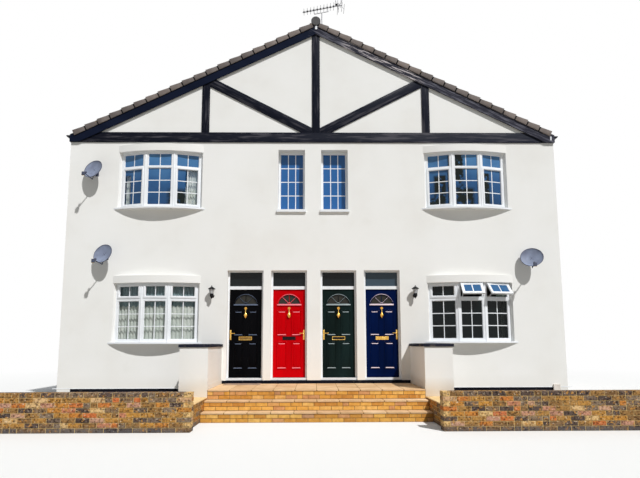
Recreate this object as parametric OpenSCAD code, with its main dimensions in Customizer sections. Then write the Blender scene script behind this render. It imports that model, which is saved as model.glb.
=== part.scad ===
// A rendered terrace of four homes under one roof, gable to the street.
// Origin: middle of the front wall's face, at the foot of the steps.
// +X runs along the front to the right, +Y into the house, +Z up.

/* [Walls] */
// Half of the front's width
front_half = 5850; // [5750:10:5900]
// Thickness of the outer walls
wall_t = 300; // [280:5:340]
// Depth of the house from front face to rear face
house_depth = 8200; // [7600:50:8600]
// Height of the walls where the gable begins
wall_top = 6290; // [6260:5:6300]
// Height of the black plinth
plinth_top = 440; // [400:5:460]
// How far the plinth stands behind the render
plinth_set = 15; // [5:1:30]

/* [Floors] */
// Top of the ground floor
ground_top = 617; // [600:1:617]
// Top of the first floor
first_top = 3750; // [3600:10:3900]
// Top of the loft floor
loft_top = 6280; // [6200:10:6290]
// Thickness of the ground slab
ground_t = 150; // [100:5:160]
// Thickness of the first floor
first_t = 250; // [200:5:300]
// Thickness of the loft floor
loft_t = 120; // [100:5:200]

/* [Roof] */
// The ridge's distance from the middle of the front
ridge_x = 60; // [0:5:60]
// Height at which the two roof faces meet
ridge_z = 9418; // [9200:1:9500]
// Height of the roof face at the eaves
eaves_z = 6538; // [6530:1:6560]
// Distance of the eaves from the middle of the front
eaves_x = 5815; // [5800:5:5900]
// Upright thickness of a roof slope
roof_t = 150; // [130:5:165]
// Depth of the tiles' face below the verge caps
verge_rise = 55; // [30:1:60]
// How far the roof stands out past each gable
verge_out = 30; // [27:1:60]
// Upright depth of a bargeboard
barge_h = 270; // [250:5:330]
// Thickness of a bargeboard
barge_t = 25; // [20:1:32]
// Upright depth of a verge cap
cap_h = 125; // [90:5:140]
// Thickness of a verge cap
cap_t = 25; // [20:1:30]
// Thickness of a fascia board at the eaves
fascia_t = 18; // [15:1:20]
// Radius of the half-round ridge tiles
ridge_r = 117; // [100:1:117]
// Outer radius of the gutters
gutter_r = 48; // [40:1:50]
// Thickness of a gutter's wall
gutter_wall = 5; // [3:1:6]
// Depth of the gutters' rim below the roof face at the eaves
gutter_drop = 0; // [0:1:30]

/* [Gable timbers] */
// How far the boards stand proud of the render
timber_t = 26; // [20:1:30]
// Height of the long beam
beam_h = 250; // [200:5:280]
// Width of the king post
king_w = 190; // [150:5:220]
// Width of the short posts
post_w = 186; // [150:5:220]
// Distance of the short posts from the king post
post_x = 2685; // [2500:5:2800]
// Width of the slanting braces
brace_w = 228; // [180:2:250]
// Joint between two boards
board_gap = 2; // [1:0.5:4]

/* [Bow windows] */
// Distance of a bow window from the middle of the front
bow_x = 3670; // [3650:5:3720]
// Width of a bow window's opening
bow_w = 2000; // [1980:10:2040]
// Underside of the lower window sills
low_sill = 1452; // [1451:1:1480]
// Head of the lower windows
low_head = 2862; // [2850:1:2900]
// Underside of the upper window sills
up_sill = 4625; // [4600:1:4680]
// Head of the upper windows
up_head = 6034; // [6000:1:6050]
// Depth of a window frame
frame_d = 65; // [55:1:75]
// Width of a bow frame's upright members
frame_w = 60; // [50:1:80]
// Height of a bow frame's bottom member
frame_low = 62; // [50:1:70]
// Height of a bow frame's top member
frame_top = 48; // [40:1:60]
// Half of the upper windows' middle light
up_light = 340; // [310:1:380]
// Half of the lower windows' middle light
low_light = 310; // [290:1:360]
// How far the frame's ends stand behind the front
bow_end_y = 80; // [60:5:120]
// How far the frame's middle stands out past the front
bow_out = 90; // [60:5:110]
// Rise of the curved sill past the front
sill_out = 200; // [160:5:220]
// Rise of the curved head past the front
head_out = 165; // [140:5:180]
// Height of the curved head
head_h = 170; // [150:5:190]
// Thickness of the sills
sill_t = 38; // [30:1:50]

/* [Flat windows] */
// Distance of the right slim window from the middle
slim_right = 505; // [495:5:515]
// Distance of the left slim window from the middle
slim_left = 530; // [525:1:535]
// Width of the slim windows
slim_w = 640; // [620:5:660]
// Underside of the slim windows' sills
slim_sill = 4562; // [4550:1:4600]
// Head of the slim windows
slim_head = 6107; // [6080:1:6120]
// Set back of the slim windows' frames
slim_set = 190; // [150:5:210]
// Width of a flat window frame's members
flat_w = 42; // [38:1:70]
// Width of the rear windows
rear_w = 1150; // [1000:10:1180]
// Sill of the lower rear windows
rear_low = 1500; // [1450:10:1600]
// Sill of the upper rear windows
rear_up = 4800; // [4700:10:4900]
// Height of the rear windows
rear_h = 1200; // [1100:10:1220]

/* [Doors] */
// Middle of the two inner doors
door_in = 580; // [575:1:585]
// Middle of the two outer doors
door_out = 1600; // [1595:1:1605]
// Width of a doorway in the wall
door_w = 840; // [836:1:844]
// Head of the doorways
door_head = 3160; // [3140:1:3180]
// Underside of a door leaf
leaf_z = 675; // [672:1:680]
// Top of a door leaf
leaf_top = 2727; // [2700:1:2727]
// Thickness of a door leaf
leaf_t = 45; // [44:1:50]
// How far the door frames stand behind the front
frame_set = 100; // [90:1:110]
// Width of a jamb's face
jamb_w = 42; // [40:1:45]
// Radius of a hinge knuckle
knuckle_r = 8; // [7:0.5:9]

/* [Steps] */
// How far the middle of the steps lies to the right
steps_x = 55; // [40:5:70]
// Top of the landing
landing_z = 545; // [540:1:560]
// Front of the landing
landing_y = 1520; // [1450:10:1650]
// Going of the second step
tread_a = 290; // [270:5:300]
// Going of the lowest step
tread_b = 300; // [260:5:310]
// Thickness of the paving on the steps
paving_t = 28; // [20:1:35]
// Distance of the white parapets from the middle of the steps
cheek_x = 2170; // [2150:5:2200]
// Width of a parapet
cheek_w = 570; // [500:10:600]
// Top of a parapet below its coping
cheek_top = 1385; // [1300:5:1385]
// Thickness of a coping
coping_t = 65; // [55:1:66]
// How far a coping stands out past its parapet
coping_out = 22; // [10:1:30]
// Front of the low garden walls
garden_y = 3120; // [3000:10:3200]
// Top of the low garden walls
garden_top = 655; // [600:1:700]
// Thickness of the garden walls
garden_t = 215; // [215:1:225]
// Distance of the garden walls' inner ends from the middle of the steps
garden_in = 2100; // [2080:5:2150]
// Distance of the garden walls' outer ends from the middle of the front
garden_end = 5960; // [5900:10:5980]
// Top of the walls beside the steps
flank_top = 405; // [385:5:430]
// Thickness of the walls beside the steps
flank_t = 330; // [215:5:330]

/* [Fittings] */
// Distance of the lanterns from the middle
lamp_x = 2360; // [2300:5:2450]
// Lowest point of a lantern
lamp_z = 2480; // [2400:5:2550]
// How far a lantern's middle stands out from the wall
lamp_out = 120; // [100:5:150]
// Width of a dish
dish_w = 500; // [420:10:520]
// Height of a dish
dish_h = 460; // [400:10:470]
// How far a dish's middle stands out from the wall
dish_out = 160; // [140:5:220]
// Turn of the dishes to the left
dish_turn = 20; // [0:1:30]
// Upward tilt of the dishes
dish_tilt = 17; // [0:1:25]
// Reach of the arm that carries a dish's receiver
dish_arm = 280; // [250:5:300]
// The aerial mast's distance from the middle
mast_x = 219; // [217:1:240]
// The aerial mast's distance behind the front
mast_y = 450; // [400:10:600]
// Height of the aerial's cradle
cradle_z = 10012; // [9900:4:10060]
// Upward tilt of the aerial's boom to the right
boom_tilt = 12; // [0:0.1:15]
// Radius of the aerial's rods
rod_r = 5; // [4:0.5:6]

/* [Hidden] */
$fn = 48;
sides = [-1, 1];
inner_half = front_half - wall_t;
back = house_depth;

white = "whitesmoke";
black = [0.07, 0.07, 0.09];
upvc = "white";
pane = [0.25, 0.3, 0.33, 0.6];
brass = [0.75, 0.58, 0.25];

// Roof slopes: [left, right] fall for each unit of width
fall = [
  (ridge_z - eaves_z) / (eaves_x + ridge_x),
  (ridge_z - eaves_z) / (eaves_x - ridge_x)
];
// Joint between the walls' tops and the slopes
bed = 0.02;
// Height of the verge line at x, and of the walls' tops under the slopes
function verge_at(x) = ridge_z - fall[x < ridge_x ? 0 : 1] * abs(x - ridge_x);
function under_at(x) = verge_at(x) - verge_rise - roof_t - bed;
roof_end = front_half;
eaves_end = front_half + fascia_t;
// Distance of the verge caps' lower ends from the middle of the front
cap_end = front_half - 40;
// Depth of a bargeboard's upper edge below the verge line
barge_low = cap_h - 65;

// Doors: [name, middle, side of the hinge, colour]
doors = [
  ["black", -door_out, 1, [0.03, 0.03, 0.035]],
  ["red", -door_in, -1, [0.75, 0.01, 0.02]],
  ["green", door_in, 1, [0.02, 0.06, 0.05]],
  ["blue", door_out, -1, [0.01, 0.03, 0.17]]
];
door_mids = [for (d = doors) d[1]];
zone_half = door_out + door_w / 2;
face_t = 20;
leaf_y = frame_set + face_t + 6;
leaf_back = leaf_y + leaf_t;
post_back = leaf_back - 1;
hinge_edge = 387;
latch_edge = 384;
post_in = 393;
axis_x = 390;
axis_y = leaf_back + knuckle_r;
transom_z = [leaf_top + 8, leaf_top + 68];
head_z = door_head - 35;
sill_top = 667;
// A leaf's fanlight: its lower edge, its radius and how far the centre lies below that edge
fan_z = 2375;
fan_r = 264;
fan_drop = 44;
// A leaf's panels: middle, half width, heights and width of the groove round them
panel_x = 170;
panel_half = 112;
panel_zs = [[1643, 2226], [876, 1486]];
groove_w = 25;
groove_d = 7;
hinge_zs = [850, 1650, 2450];

rear_xs = [-4350, -1500, 1500, 4350];
bow_half = bow_w / 2;
// Half of a bow frame's width, between the splayed reveals
bow_frame = bow_half - 40;
up_parts = [up_sill, up_head];
low_parts = [low_sill, low_head];
// Height of a flat frame's bottom member
flat_low = 49;
// The panes' place and thickness in the frames
pane_y = 26;
pane_t = 10;
// Bottom and top of the transom in each storey's bow windows
up_bar = [5632, 5675];
low_bar = [2444, 2526];
// Height of an open top light, the width of its rim, how far it is pushed out,
// its hinges' depth below the head and its distance from the light's ends
vent_h = 330;
vent_rim = 48;
vent_turn = 36;
vent_drop = 28;
vent_in = 55;
slim_xs = [-slim_left, slim_right];

// Blocks

// A box from its low corner to its high corner
module block(a, b) {
  translate(a) cube(b - a);
}

// A closed outline in X and Z, drawn out along Y
module upright(points, y0, y1) {
  translate([0, y1, 0]) rotate([90, 0, 0]) linear_extrude(y1 - y0) polygon(points);
}

// The part of a circle that rises by out over a chord of width w
module arc_board(w, out, z0, z1) {
  r = (w * w / 4 + out * out) / (2 * out);
  intersection() {
    translate([0, r - out, z0]) cylinder(r = r, h = z1 - z0, $fn = 720);
    block([-w / 2 - 1, -out - 1, z0 - 1], [w / 2 + 1, 0, z1 + 1]);
  }
}

// Walls

module front_piers() {
  color(white)
    for (s = sides) {
      pier(s, bow_x + bow_half, inner_half);
      pier(s, zone_half, bow_x - bow_half);
    }
}

module pier(s, x0, x1) {
  lo = s > 0 ? x0 : -x1;
  block([lo, 0, plinth_top], [lo + x1 - x0, wall_t, wall_top]);
}

module front_spandrels() {
  color(white)
    for (s = sides, z = [[plinth_top, low_sill], [low_head, up_sill], [up_head, wall_top]])
      block([s * bow_x - bow_half, 0, z[0]], [s * bow_x + bow_half, wall_t, z[1]]);
}

module door_piers() {
  edges = [
    [-door_out + door_w / 2, -door_in - door_w / 2],
    [-door_in + door_w / 2, door_in - door_w / 2],
    [door_in + door_w / 2, door_out - door_w / 2]
  ];
  color(white)
    for (e = edges) block([e[0], 0, ground_top], [e[1], wall_t, door_head]);
}

module front_wall_centre() {
  color(white)
    difference() {
      block([-zone_half, 0, door_head], [zone_half, wall_t, wall_top]);
      for (x = slim_xs)
        block([x - slim_w / 2, -1, slim_sill], [x + slim_w / 2, wall_t + 1, slim_head]);
    }
}

module gable_walls() {
  outline = [
    [-front_half, wall_top], [front_half, wall_top], [front_half, under_at(front_half)],
    [ridge_x, under_at(ridge_x)], [-front_half, under_at(-front_half)]
  ];
  color(white) {
    upright(outline, 0, wall_t);
    upright(outline, back - wall_t, back);
  }
}

module side_walls() {
  color(white)
    for (s = sides) {
      low_x = min(s * inner_half, s * front_half);
      block([low_x, 0, 0], [low_x + wall_t, back, wall_top]);
      upright([
        [s * inner_half, wall_top - 1], [s * front_half, wall_top - 1],
        [s * front_half, under_at(s * front_half)], [s * inner_half, under_at(s * inner_half)]
      ], wall_t, back - wall_t);
    }
}

module rear_piers() {
  xs = concat([-inner_half], [for (x = rear_xs) each [x - rear_w / 2, x + rear_w / 2]], [inner_half]);
  color(white)
    for (i = [0 : 2 : len(xs) - 1])
      block([xs[i], back - wall_t, plinth_top], [xs[i + 1], back, wall_top]);
}

module rear_spandrels() {
  rows = [[plinth_top, rear_low], [rear_low + rear_h, rear_up], [rear_up + rear_h, wall_top]];
  color(white)
    for (x = rear_xs, z = rows)
      block([x - rear_w / 2, back - wall_t, z[0]], [x + rear_w / 2, back, z[1]]);
}

module plinths() {
  color(black) {
    block([-inner_half, plinth_set, 0], [inner_half, wall_t, plinth_top]);
    block([-inner_half, back - wall_t, 0], [inner_half, back - plinth_set, plinth_top]);
  }
}

module doorstep_base() {
  color(black)
    block([-zone_half, 0, plinth_top], [zone_half, wall_t, ground_top]);
}

// Floors

module ground_floor() {
  color("gray")
    block([-inner_half, wall_t, ground_top - ground_t], [inner_half, back - wall_t, ground_top]);
}

module upper_floors() {
  color("tan") {
    block([-inner_half, wall_t, first_top - first_t], [inner_half, back - wall_t, first_top]);
    block([-inner_half, wall_t, loft_top - loft_t], [inner_half, back - wall_t, loft_top]);
  }
}

// Roof

module slope(s) {
  end = s * roof_end;
  top = [verge_at(ridge_x) - verge_rise, verge_at(end) - verge_rise];
  color("dimgray")
    upright([[ridge_x, top[0]], [end, top[1]], [end, top[1] - roof_t], [ridge_x, top[0] - roof_t]],
      -verge_out, back + verge_out);
}

module roof_left() {
  slope(-1);
}

module roof_right() {
  slope(1);
}

module ridge_tiles() {
  y0 = -verge_out - barge_t - cap_t - 12;
  color("dimgray")
    difference() {
      translate([ridge_x, back - y0, ridge_z]) rotate([90, 0, 0]) cylinder(r = ridge_r, h = back - 2 * y0);
      slope(-1);
      slope(1);
      upright([
        [ridge_x - 400, verge_at(ridge_x - 400) - verge_rise], [ridge_x, ridge_z - verge_rise],
        [ridge_x + 400, verge_at(ridge_x + 400) - verge_rise], [ridge_x + 400, ridge_z - 600],
        [ridge_x - 400, ridge_z - 600]
      ], 20 - verge_out, back + verge_out - 20);
    }
}

// A bar that follows one slope between two depths below the verge line
module rake(s, x0, x1, d0, d1, y0, y1) {
  upright([
    [x0, verge_at(x0) - d0], [x1, verge_at(x1) - d0], [x1, verge_at(x1) - d1], [x0, verge_at(x0) - d1]
  ], y0, y1);
}

module verge_caps() {
  color("dimgray")
    for (s = sides, y = [-verge_out - barge_t - cap_t, back + verge_out + barge_t])
      rake(s, ridge_x + s * (ridge_r + 1), s * cap_end, 0, cap_h, y, y + cap_t);
}

module bargeboards() {
  color(black)
    for (s = sides, y = [-verge_out - barge_t, back + verge_out])
      difference() {
        intersection() {
          rake(s, ridge_x + s, s * eaves_end, barge_low, barge_low + barge_h, y, y + barge_t);
          block([-front_half - 200, y - 1, wall_top], [front_half + 200, y + barge_t + 1, ridge_z]);
        }
        translate([ridge_x, y + barge_t + 1, ridge_z])
          rotate([90, 0, 0]) cylinder(r = ridge_r + 0.5, h = barge_t + 2);
      }
}

module eaves_boards() {
  color(black)
    for (s = sides) {
      a = s * front_half;
      b = s * eaves_end;
      upright([
        [a, wall_top], [b, wall_top], [b, verge_at(b) - verge_rise], [a, verge_at(a) - verge_rise]
      ], -verge_out, back + verge_out);
    }
}

module gutters() {
  run = back + 2 * verge_out;
  color(black)
    for (s = sides)
      translate([
        s * (eaves_end + gutter_r), back + verge_out, verge_at(s * eaves_end) - verge_rise - gutter_drop
      ])
        rotate([90, 0, 0])
          difference() {
            cylinder(r = gutter_r, h = run);
            translate([0, 0, 4]) cylinder(r = gutter_r - gutter_wall, h = run - 8);
            block([-gutter_r - 1, 0, -1], [gutter_r + 1, gutter_r + 1, run + 1]);
          }
}

module gable_timbers() {
  beam_top = wall_top + beam_h;
  inner = king_w / 2 + board_gap;
  outer = post_x - post_w / 2 - board_gap;
  color(black)
    intersection() {
      union() {
        block([-front_half, -timber_t, wall_top], [front_half, 0, beam_top]);
        post(ridge_x, king_w, beam_top);
        for (s = sides) {
          post(ridge_x + s * post_x, post_w, beam_top);
          intersection() {
            brace(s, beam_top);
            block([ridge_x + (s > 0 ? inner : -outer), -timber_t, beam_top + board_gap],
              [ridge_x + (s > 0 ? outer : -inner), 0, ridge_z]);
          }
        }
      }
      upright([
        [-front_half, wall_top], [front_half, wall_top], [front_half, under_at(front_half)],
        [ridge_x, under_at(ridge_x)], [-front_half, under_at(-front_half)]
      ], -timber_t, 0);
    }
}

module post(x, w, z0) {
  block([x - w / 2, -timber_t, z0 + board_gap], [x + w / 2, 0, ridge_z]);
}

// A brace from a short post's head down to the king post's foot
module brace(s, beam_top) {
  foot = [ridge_x, beam_top - 60];
  head = [ridge_x + s * post_x, beam_top + 1345];
  along = head - foot;
  size = norm(along);
  off = [-along[1], along[0]] * brace_w / 2 / size;
  upright([foot - off, head - off, head + off, foot + off], -timber_t, 0);
}

// Windows

// The opening for a pane, from height low to top in a frame of width w with members side wide
module light_hole(w, side, low, top) {
  translate([side, -1, low]) cube([w - 2 * side, frame_d + 2, top - low]);
}

// The three faces of a bow whose middle light is 2 h wide: [low X, its Y, turn about Z, width]
function bow_turn(h) = atan2(bow_end_y + bow_out, bow_frame - h);
function bow_side(h) = norm([bow_frame - h, bow_end_y + bow_out]);
function bow_faces(h) = [
  [-bow_frame, bow_end_y, -bow_turn(h), bow_side(h)],
  [-h, -bow_out, 0, 2 * h],
  [h, -bow_out, bow_turn(h), bow_side(h)]
];

// A bow frame seen from above: one strip of the frame's depth along the three faces
module bow_plan(h) {
  t = bow_turn(h);
  end = [bow_frame - frame_d * sin(t), bow_end_y + frame_d * cos(t)];
  inner = [h - frame_d * tan(t / 2), frame_d - bow_out];
  polygon([
    [-bow_frame, bow_end_y], [-h, -bow_out], [h, -bow_out], [bow_frame, bow_end_y],
    end, inner, [-inner[0], inner[1]], [-end[0], end[1]]
  ]);
}

module at_bows() {
  for (s = sides, r = [[low_parts, low_bar, low_light], [up_parts, up_bar, up_light]])
    translate([s * bow_x, 0, 0]) {
      $side = s;
      $part = r[0];
      $bar = r[1];
      $half = r[2];
      children();
    }
}

module at_faces() {
  for (i = [0 : 2]) {
    f = bow_faces($half)[i];
    translate([f[0], f[1], 0]) rotate([0, 0, f[2]]) {
      $face = i;
      $w = f[3];
      children();
    }
  }
}

module bow_frames() {
  color(upvc)
    at_bows() {
      z0 = $part[0] + sill_t;
      difference() {
        translate([0, 0, z0]) linear_extrude($part[1] - z0) bow_plan($half);
        at_faces() {
          light_hole($w, frame_w, z0 + frame_low, $bar[0]);
          light_hole($w, frame_w, $bar[1], $part[1] - frame_top);
        }
      }
    }
}

module bow_glass() {
  color(pane) {
    at_bows()
      at_faces() {
        z0 = $part[0] + sill_t + frame_low;
        vent_open = $side > 0 && $part[0] == low_sill && $face > 0;
        translate([frame_w, pane_y, z0]) cube([$w - 2 * frame_w, pane_t, $bar[0] - z0]);
        if (!vent_open)
          translate([frame_w, pane_y, $bar[1]])
            cube([$w - 2 * frame_w, pane_t, $part[1] - $bar[1] - frame_top]);
      }
    at_open_vents()
      translate([vent_rim, -pane_y, vent_rim - vent_h])
        cube([$w - 2 * vent_rim, pane_t, vent_h - 2 * vent_rim]);
  }
}

module bow_sills() {
  color(upvc)
    at_bows()
      union() {
        arc_board(bow_w + 170, sill_out, $part[0], $part[0] + sill_t);
        block([-bow_half, -1, $part[0]], [bow_half, wall_t, $part[0] + sill_t]);
      }
}

// The curved heads and the splayed reveals beside the frames
module bow_heads() {
  color(white)
    at_bows() {
      arc_board(bow_w + 40, head_out, $part[1], $part[1] + head_h);
      for (s = sides) reveal(s, $part[0] + sill_t, $part[1]);
    }
}

module reveal(s, z0, z1) {
  translate([0, 0, z0])
    linear_extrude(z1 - z0)
      polygon([
        [s * bow_half, 0], [s * bow_half, wall_t], [s * bow_frame, wall_t], [s * bow_frame, bow_end_y]
      ]);
}

// Two top lights of the lower right window, hung at the top and pushed out
module at_open_vents() {
  faces = bow_faces(low_light);
  translate([bow_x, 0, 0])
    for (f = [faces[1], faces[2]])
      translate([f[0], f[1], low_head - vent_drop]) rotate([0, 0, f[2]])
        translate([vent_in, 0, 0]) rotate([-vent_turn, 0, 0]) {
          $w = f[3] - 2 * vent_in;
          children();
        }
}

module open_vents() {
  color(upvc)
    at_open_vents()
      difference() {
        translate([0, -40, -vent_h]) cube([$w, 40, vent_h]);
        translate([vent_rim, -41, vent_rim - vent_h])
          cube([$w - 2 * vent_rim, 42, vent_h - 2 * vent_rim]);
      }
}

// Upright flat windows: [middle X, frame's front Y, low Z, high Z, width]
slim_board = 60;
rear_board = 45;
flat_windows = concat(
  [for (x = slim_xs) [x, slim_set, slim_sill + slim_board, slim_head, slim_w]],
  [for (x = rear_xs, z = [rear_low, rear_up])
    [x, back - 100 - frame_d, z + rear_board, z + rear_h, rear_w]]
);

module flat_frames() {
  color(upvc)
    for (w = flat_windows)
      translate([w[0] - w[4] / 2, w[1], w[2]])
        difference() {
          cube([w[4], frame_d, w[3] - w[2]]);
          light_hole(w[4], flat_w, flat_low, w[3] - w[2] - flat_w);
        }
}

module flat_glass() {
  color(pane)
    for (w = flat_windows)
      translate([w[0] - w[4] / 2 + flat_w, w[1] + pane_y, w[2] + flat_low])
        cube([w[4] - 2 * flat_w, pane_t, w[3] - w[2] - flat_w - flat_low]);
}

module flat_sills() {
  color(upvc) {
    for (x = slim_xs) {
      half = slim_w / 2;
      block([x - half, -1, slim_sill], [x + half, wall_t, slim_sill + slim_board]);
      block([x - half - 30, -50, slim_sill], [x + half + 30, 0, slim_sill + slim_board]);
    }
    for (x = rear_xs, z = [rear_low, rear_up]) {
      half = rear_w / 2;
      block([x - half, back - wall_t, z], [x + half, back + 1, z + rear_board]);
      block([x - half - 40, back, z], [x + half + 40, back + 50, z + rear_board]);
    }
  }
}

// Doors

module door_frames() {
  color(upvc)
    for (m = door_mids) {
      for (s = sides) jamb(m, s);
      rail(m, head_z, door_head, 0);
      rail(m, transom_z[0], transom_z[1], 15);
    }
}

module jamb(m, s) {
  z0 = sill_top;
  face_in = door_w / 2 - jamb_w;
  block([m + (s > 0 ? face_in : -door_w / 2), frame_set, z0],
    [m + (s > 0 ? door_w / 2 : -face_in), frame_set + face_t, door_head]);
  block([m + (s > 0 ? post_in : -door_w / 2), frame_set + face_t - 1, z0],
    [m + (s > 0 ? door_w / 2 : -post_in), post_back, door_head]);
}

module rail(m, z0, z1, lip) {
  face_in = door_w / 2 - jamb_w - 1;
  block([m - face_in, frame_set, z0 - lip], [m + face_in, frame_set + face_t, z1]);
  block([m - face_in, frame_set + face_t - 1, z0], [m + face_in, post_back, z1]);
}

module thresholds() {
  color(upvc)
    for (m = door_mids)
      block([m - door_w / 2, 35, ground_top], [m + door_w / 2, post_back, sill_top]);
}

module transom_glass() {
  color(pane)
    for (m = door_mids)
      block([m - 388, frame_set + 38, transom_z[1]], [m + 388, frame_set + 46, head_z]);
}

// One half of a butt hinge on the axis: a flap and its knuckle
module hinge_half(x0, x1, y0, z0, h) {
  translate([0, axis_y, z0]) cylinder(r = knuckle_r, h = h);
  block([x0, y0, z0], [x1, y0 + 3, z0 + h]);
}

module frame_hinges() {
  color(brass)
    for (d = doors, z = hinge_zs, part = [[0, 30], [70, 30]])
      translate([d[1] + d[2] * axis_x, 0, z + part[0]])
        mirror([d[2] > 0 ? 0 : 1, 0, 0]) hinge_half(0, 26, post_back, 0, part[1]);
}

module leaf(d) {
  color(d[3])
    translate([d[1], 0, 0])
      mirror([d[2] > 0 ? 0 : 1, 0, 0]) {
        difference() {
          block([-latch_edge, leaf_y, leaf_z], [hinge_edge, leaf_back, leaf_top]);
          fan_shape(fan_r, leaf_y - 1, leaf_back + 1, fan_z);
          for (s = sides, z = panel_zs)
            difference() {
              panel(s * panel_x, panel_half, z[0], z[1], groove_d);
              panel(s * panel_x, panel_half - groove_w, z[0] + groove_w, z[1] - groove_w, groove_d + 1);
            }
        }
        for (z = hinge_zs)
          translate([axis_x, 0, 0]) hinge_half(-40, 0, leaf_back, z + 32, 36);
      }
}

// The segment of a circle that a fanlight fills, above z0
module fan_shape(r, y0, y1, z0) {
  intersection() {
    translate([0, y1, fan_z - fan_drop]) rotate([90, 0, 0]) cylinder(r = r, h = y1 - y0);
    block([-r, y0 - 1, z0], [r, y1 + 1, fan_z + r]);
  }
}

// A block d deep in the leaf's face, about a panel's middle
module panel(x, half, z0, z1, d) {
  block([x - half, leaf_y - 1, z0], [x + half, leaf_y + d, z1]);
}

module fanlight(d) {
  color(pane)
    translate([d[1], 0, 0]) fan_shape(fan_r - 0.5, leaf_y + 18, leaf_y + 26, fan_z + 0.5);
}

// Knocker, letter plate and a lever handle inside and out
module brassware(d) {
  hand = d[2] > 0 ? -1 : 1;
  color(brass)
    translate([d[1], leaf_y, 0]) {
      knocker();
      block([-152, -9, 1534], [152, 0, 1614]);
      translate([hand * (latch_edge - 36), 0, 0]) {
        lever(-hand);
        translate([0, leaf_t, 0]) mirror([0, 1, 0]) lever(-hand);
      }
    }
}

module knocker() {
  translate([0, 0, 2275]) rotate([90, 0, 0]) cylinder(r = 32, h = 22);
  block([-8, -28, 2140], [8, -14, 2275]);
  translate([0, -28, 2050]) cylinder(r1 = 9, r2 = 27, h = 96);
}

// A lever on its plate, on the face at Y = 0, with its grip towards side s
module lever(s) {
  block([-20, -8, 1540], [20, 0, 1770]);
  translate([0, 0, 1690]) rotate([90, 0, 0]) cylinder(r = 10, h = 45);
  block([s > 0 ? 0 : -110, -48, 1680], [s > 0 ? 110 : 0, -35, 1700]);
}

// Steps and garden walls

module steps_brickwork() {
  y = [-landing_y, -landing_y - tread_a, -landing_y - tread_a - tread_b];
  rise = landing_z / 3;
  color("goldenrod")
    translate([steps_x, 0, 0])
      union() {
        for (i = [0 : 2]) block([-cheek_x, y[i], 0], [cheek_x, 0, (3 - i) * rise - paving_t]);
        block([-cheek_x, -1, 0], [cheek_x, plinth_set, plinth_top]);
      }
}

// The landing and two treads, each with its nosing
module step_paving() {
  rise = landing_z / 3;
  nosing = 15;
  backs = [0, -landing_y, -landing_y - tread_a];
  fronts = [-landing_y, -landing_y - tread_a, -landing_y - tread_a - tread_b];
  color("tan")
    for (i = [0 : 2]) {
      top = (3 - i) * rise;
      block([steps_x - cheek_x, fronts[i] - nosing, top - paving_t], [steps_x + cheek_x, backs[i], top]);
    }
}

// A block beside the steps, w wide from x0 outwards, counted from the middle of the steps
module beside(s, x0, w, y0, y1, z0, z1) {
  lo = steps_x + (s > 0 ? x0 : -x0 - w);
  block([lo, y0, z0], [lo + w, y1, z1]);
}

module parapets() {
  color(white)
    for (s = sides) beside(s, cheek_x, cheek_w, -landing_y, 0, 0, cheek_top);
}

module copings() {
  color(black)
    for (s = sides)
      beside(s, cheek_x - coping_out, cheek_w + 2 * coping_out, -landing_y - coping_out, 0,
        cheek_top, cheek_top + coping_t);
}

module flank_walls() {
  color("peru")
    for (s = sides) beside(s, cheek_x, flank_t, -garden_y + garden_t, -landing_y, 0, flank_top);
}

module garden_walls() {
  color("peru")
    for (s = sides)
      beside(s, garden_in, garden_end - garden_in - s * steps_x, -garden_y, -garden_y + garden_t, 0, garden_top);
}

// Fittings

module lanterns() {
  color(black)
    for (s = sides)
      translate([s * lamp_x, 0, lamp_z]) {
        translate([0, 0, 75]) rotate([90, 0, 0]) cylinder(r = 42, h = 16);
        block([-9, -lamp_out, 66], [9, -10, 84]);
        translate([0, -lamp_out, 0]) {
          cylinder(r1 = 10, r2 = 44, h = 60);
          translate([0, 0, 60]) cylinder(r = 44, h = 60);
          translate([0, 0, 120]) cylinder(r1 = 40, r2 = 66, h = 108);
          translate([0, 0, 228]) cylinder(r1 = 86, r2 = 20, h = 52);
          translate([0, 0, 280]) cylinder(r = 9, h = 35);
        }
      }
}

// Middles of the dishes: [X, Z]
dish_list = [[-5182, 5537], [-4856, 3512], [5100, 3420]];

module dishes() {
  color("slategray")
    for (d = dish_list)
      translate([d[0], 0, d[1]]) {
        translate([0, -dish_out, 0]) rotate([0, 0, -dish_turn]) rotate([-dish_tilt, 0, 0]) dish();
        translate([0, 0, -40]) rotate([90, 0, 0]) cylinder(r = 16, h = dish_out - 25);
        block([-40, -8, -100], [40, 0, 20]);
      }
}

// An oval bowl facing -Y with its arm and receiver
module dish() {
  r = 600;
  steps = 40;
  turns = [for (i = [0 : steps - 1]) i * 360 / steps];
  foot = -dish_h / 2 - 20;
  intersection() {
    difference() {
      translate([0, 6 - r, 0]) sphere(r = r, $fn = 96);
      translate([0, -r, 0]) sphere(r = r, $fn = 96);
    }
    translate([0, 10, 0]) rotate([90, 0, 0]) linear_extrude(200)
      polygon([for (a = turns) [cos(a) * dish_w / 2, sin(a) * dish_h / 2]]);
  }
  block([-35, 3, -50], [35, 36, 35]);
  block([-10, 14, foot], [10, 28, -40]);
  translate([0, 0, foot]) rotate([7, 0, 8]) {
    block([-9, -dish_arm, 0], [9, 28, 18]);
    translate([0, -dish_arm, 9]) {
      rotate([-50, 0, 0]) cylinder(r = 26, h = 70);
      block([-42, -40, -70], [42, 8, 25]);
    }
  }
}

// Places its children in the aerial's cradle, whose bars lean with the boom
module at_cradle() {
  translate([mast_x, mast_y, cradle_z]) rotate([0, -boom_tilt, 0]) children();
}

boom_low = 100;
boom_w = 26;
boom_mid = boom_low + boom_w / 2;

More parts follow.
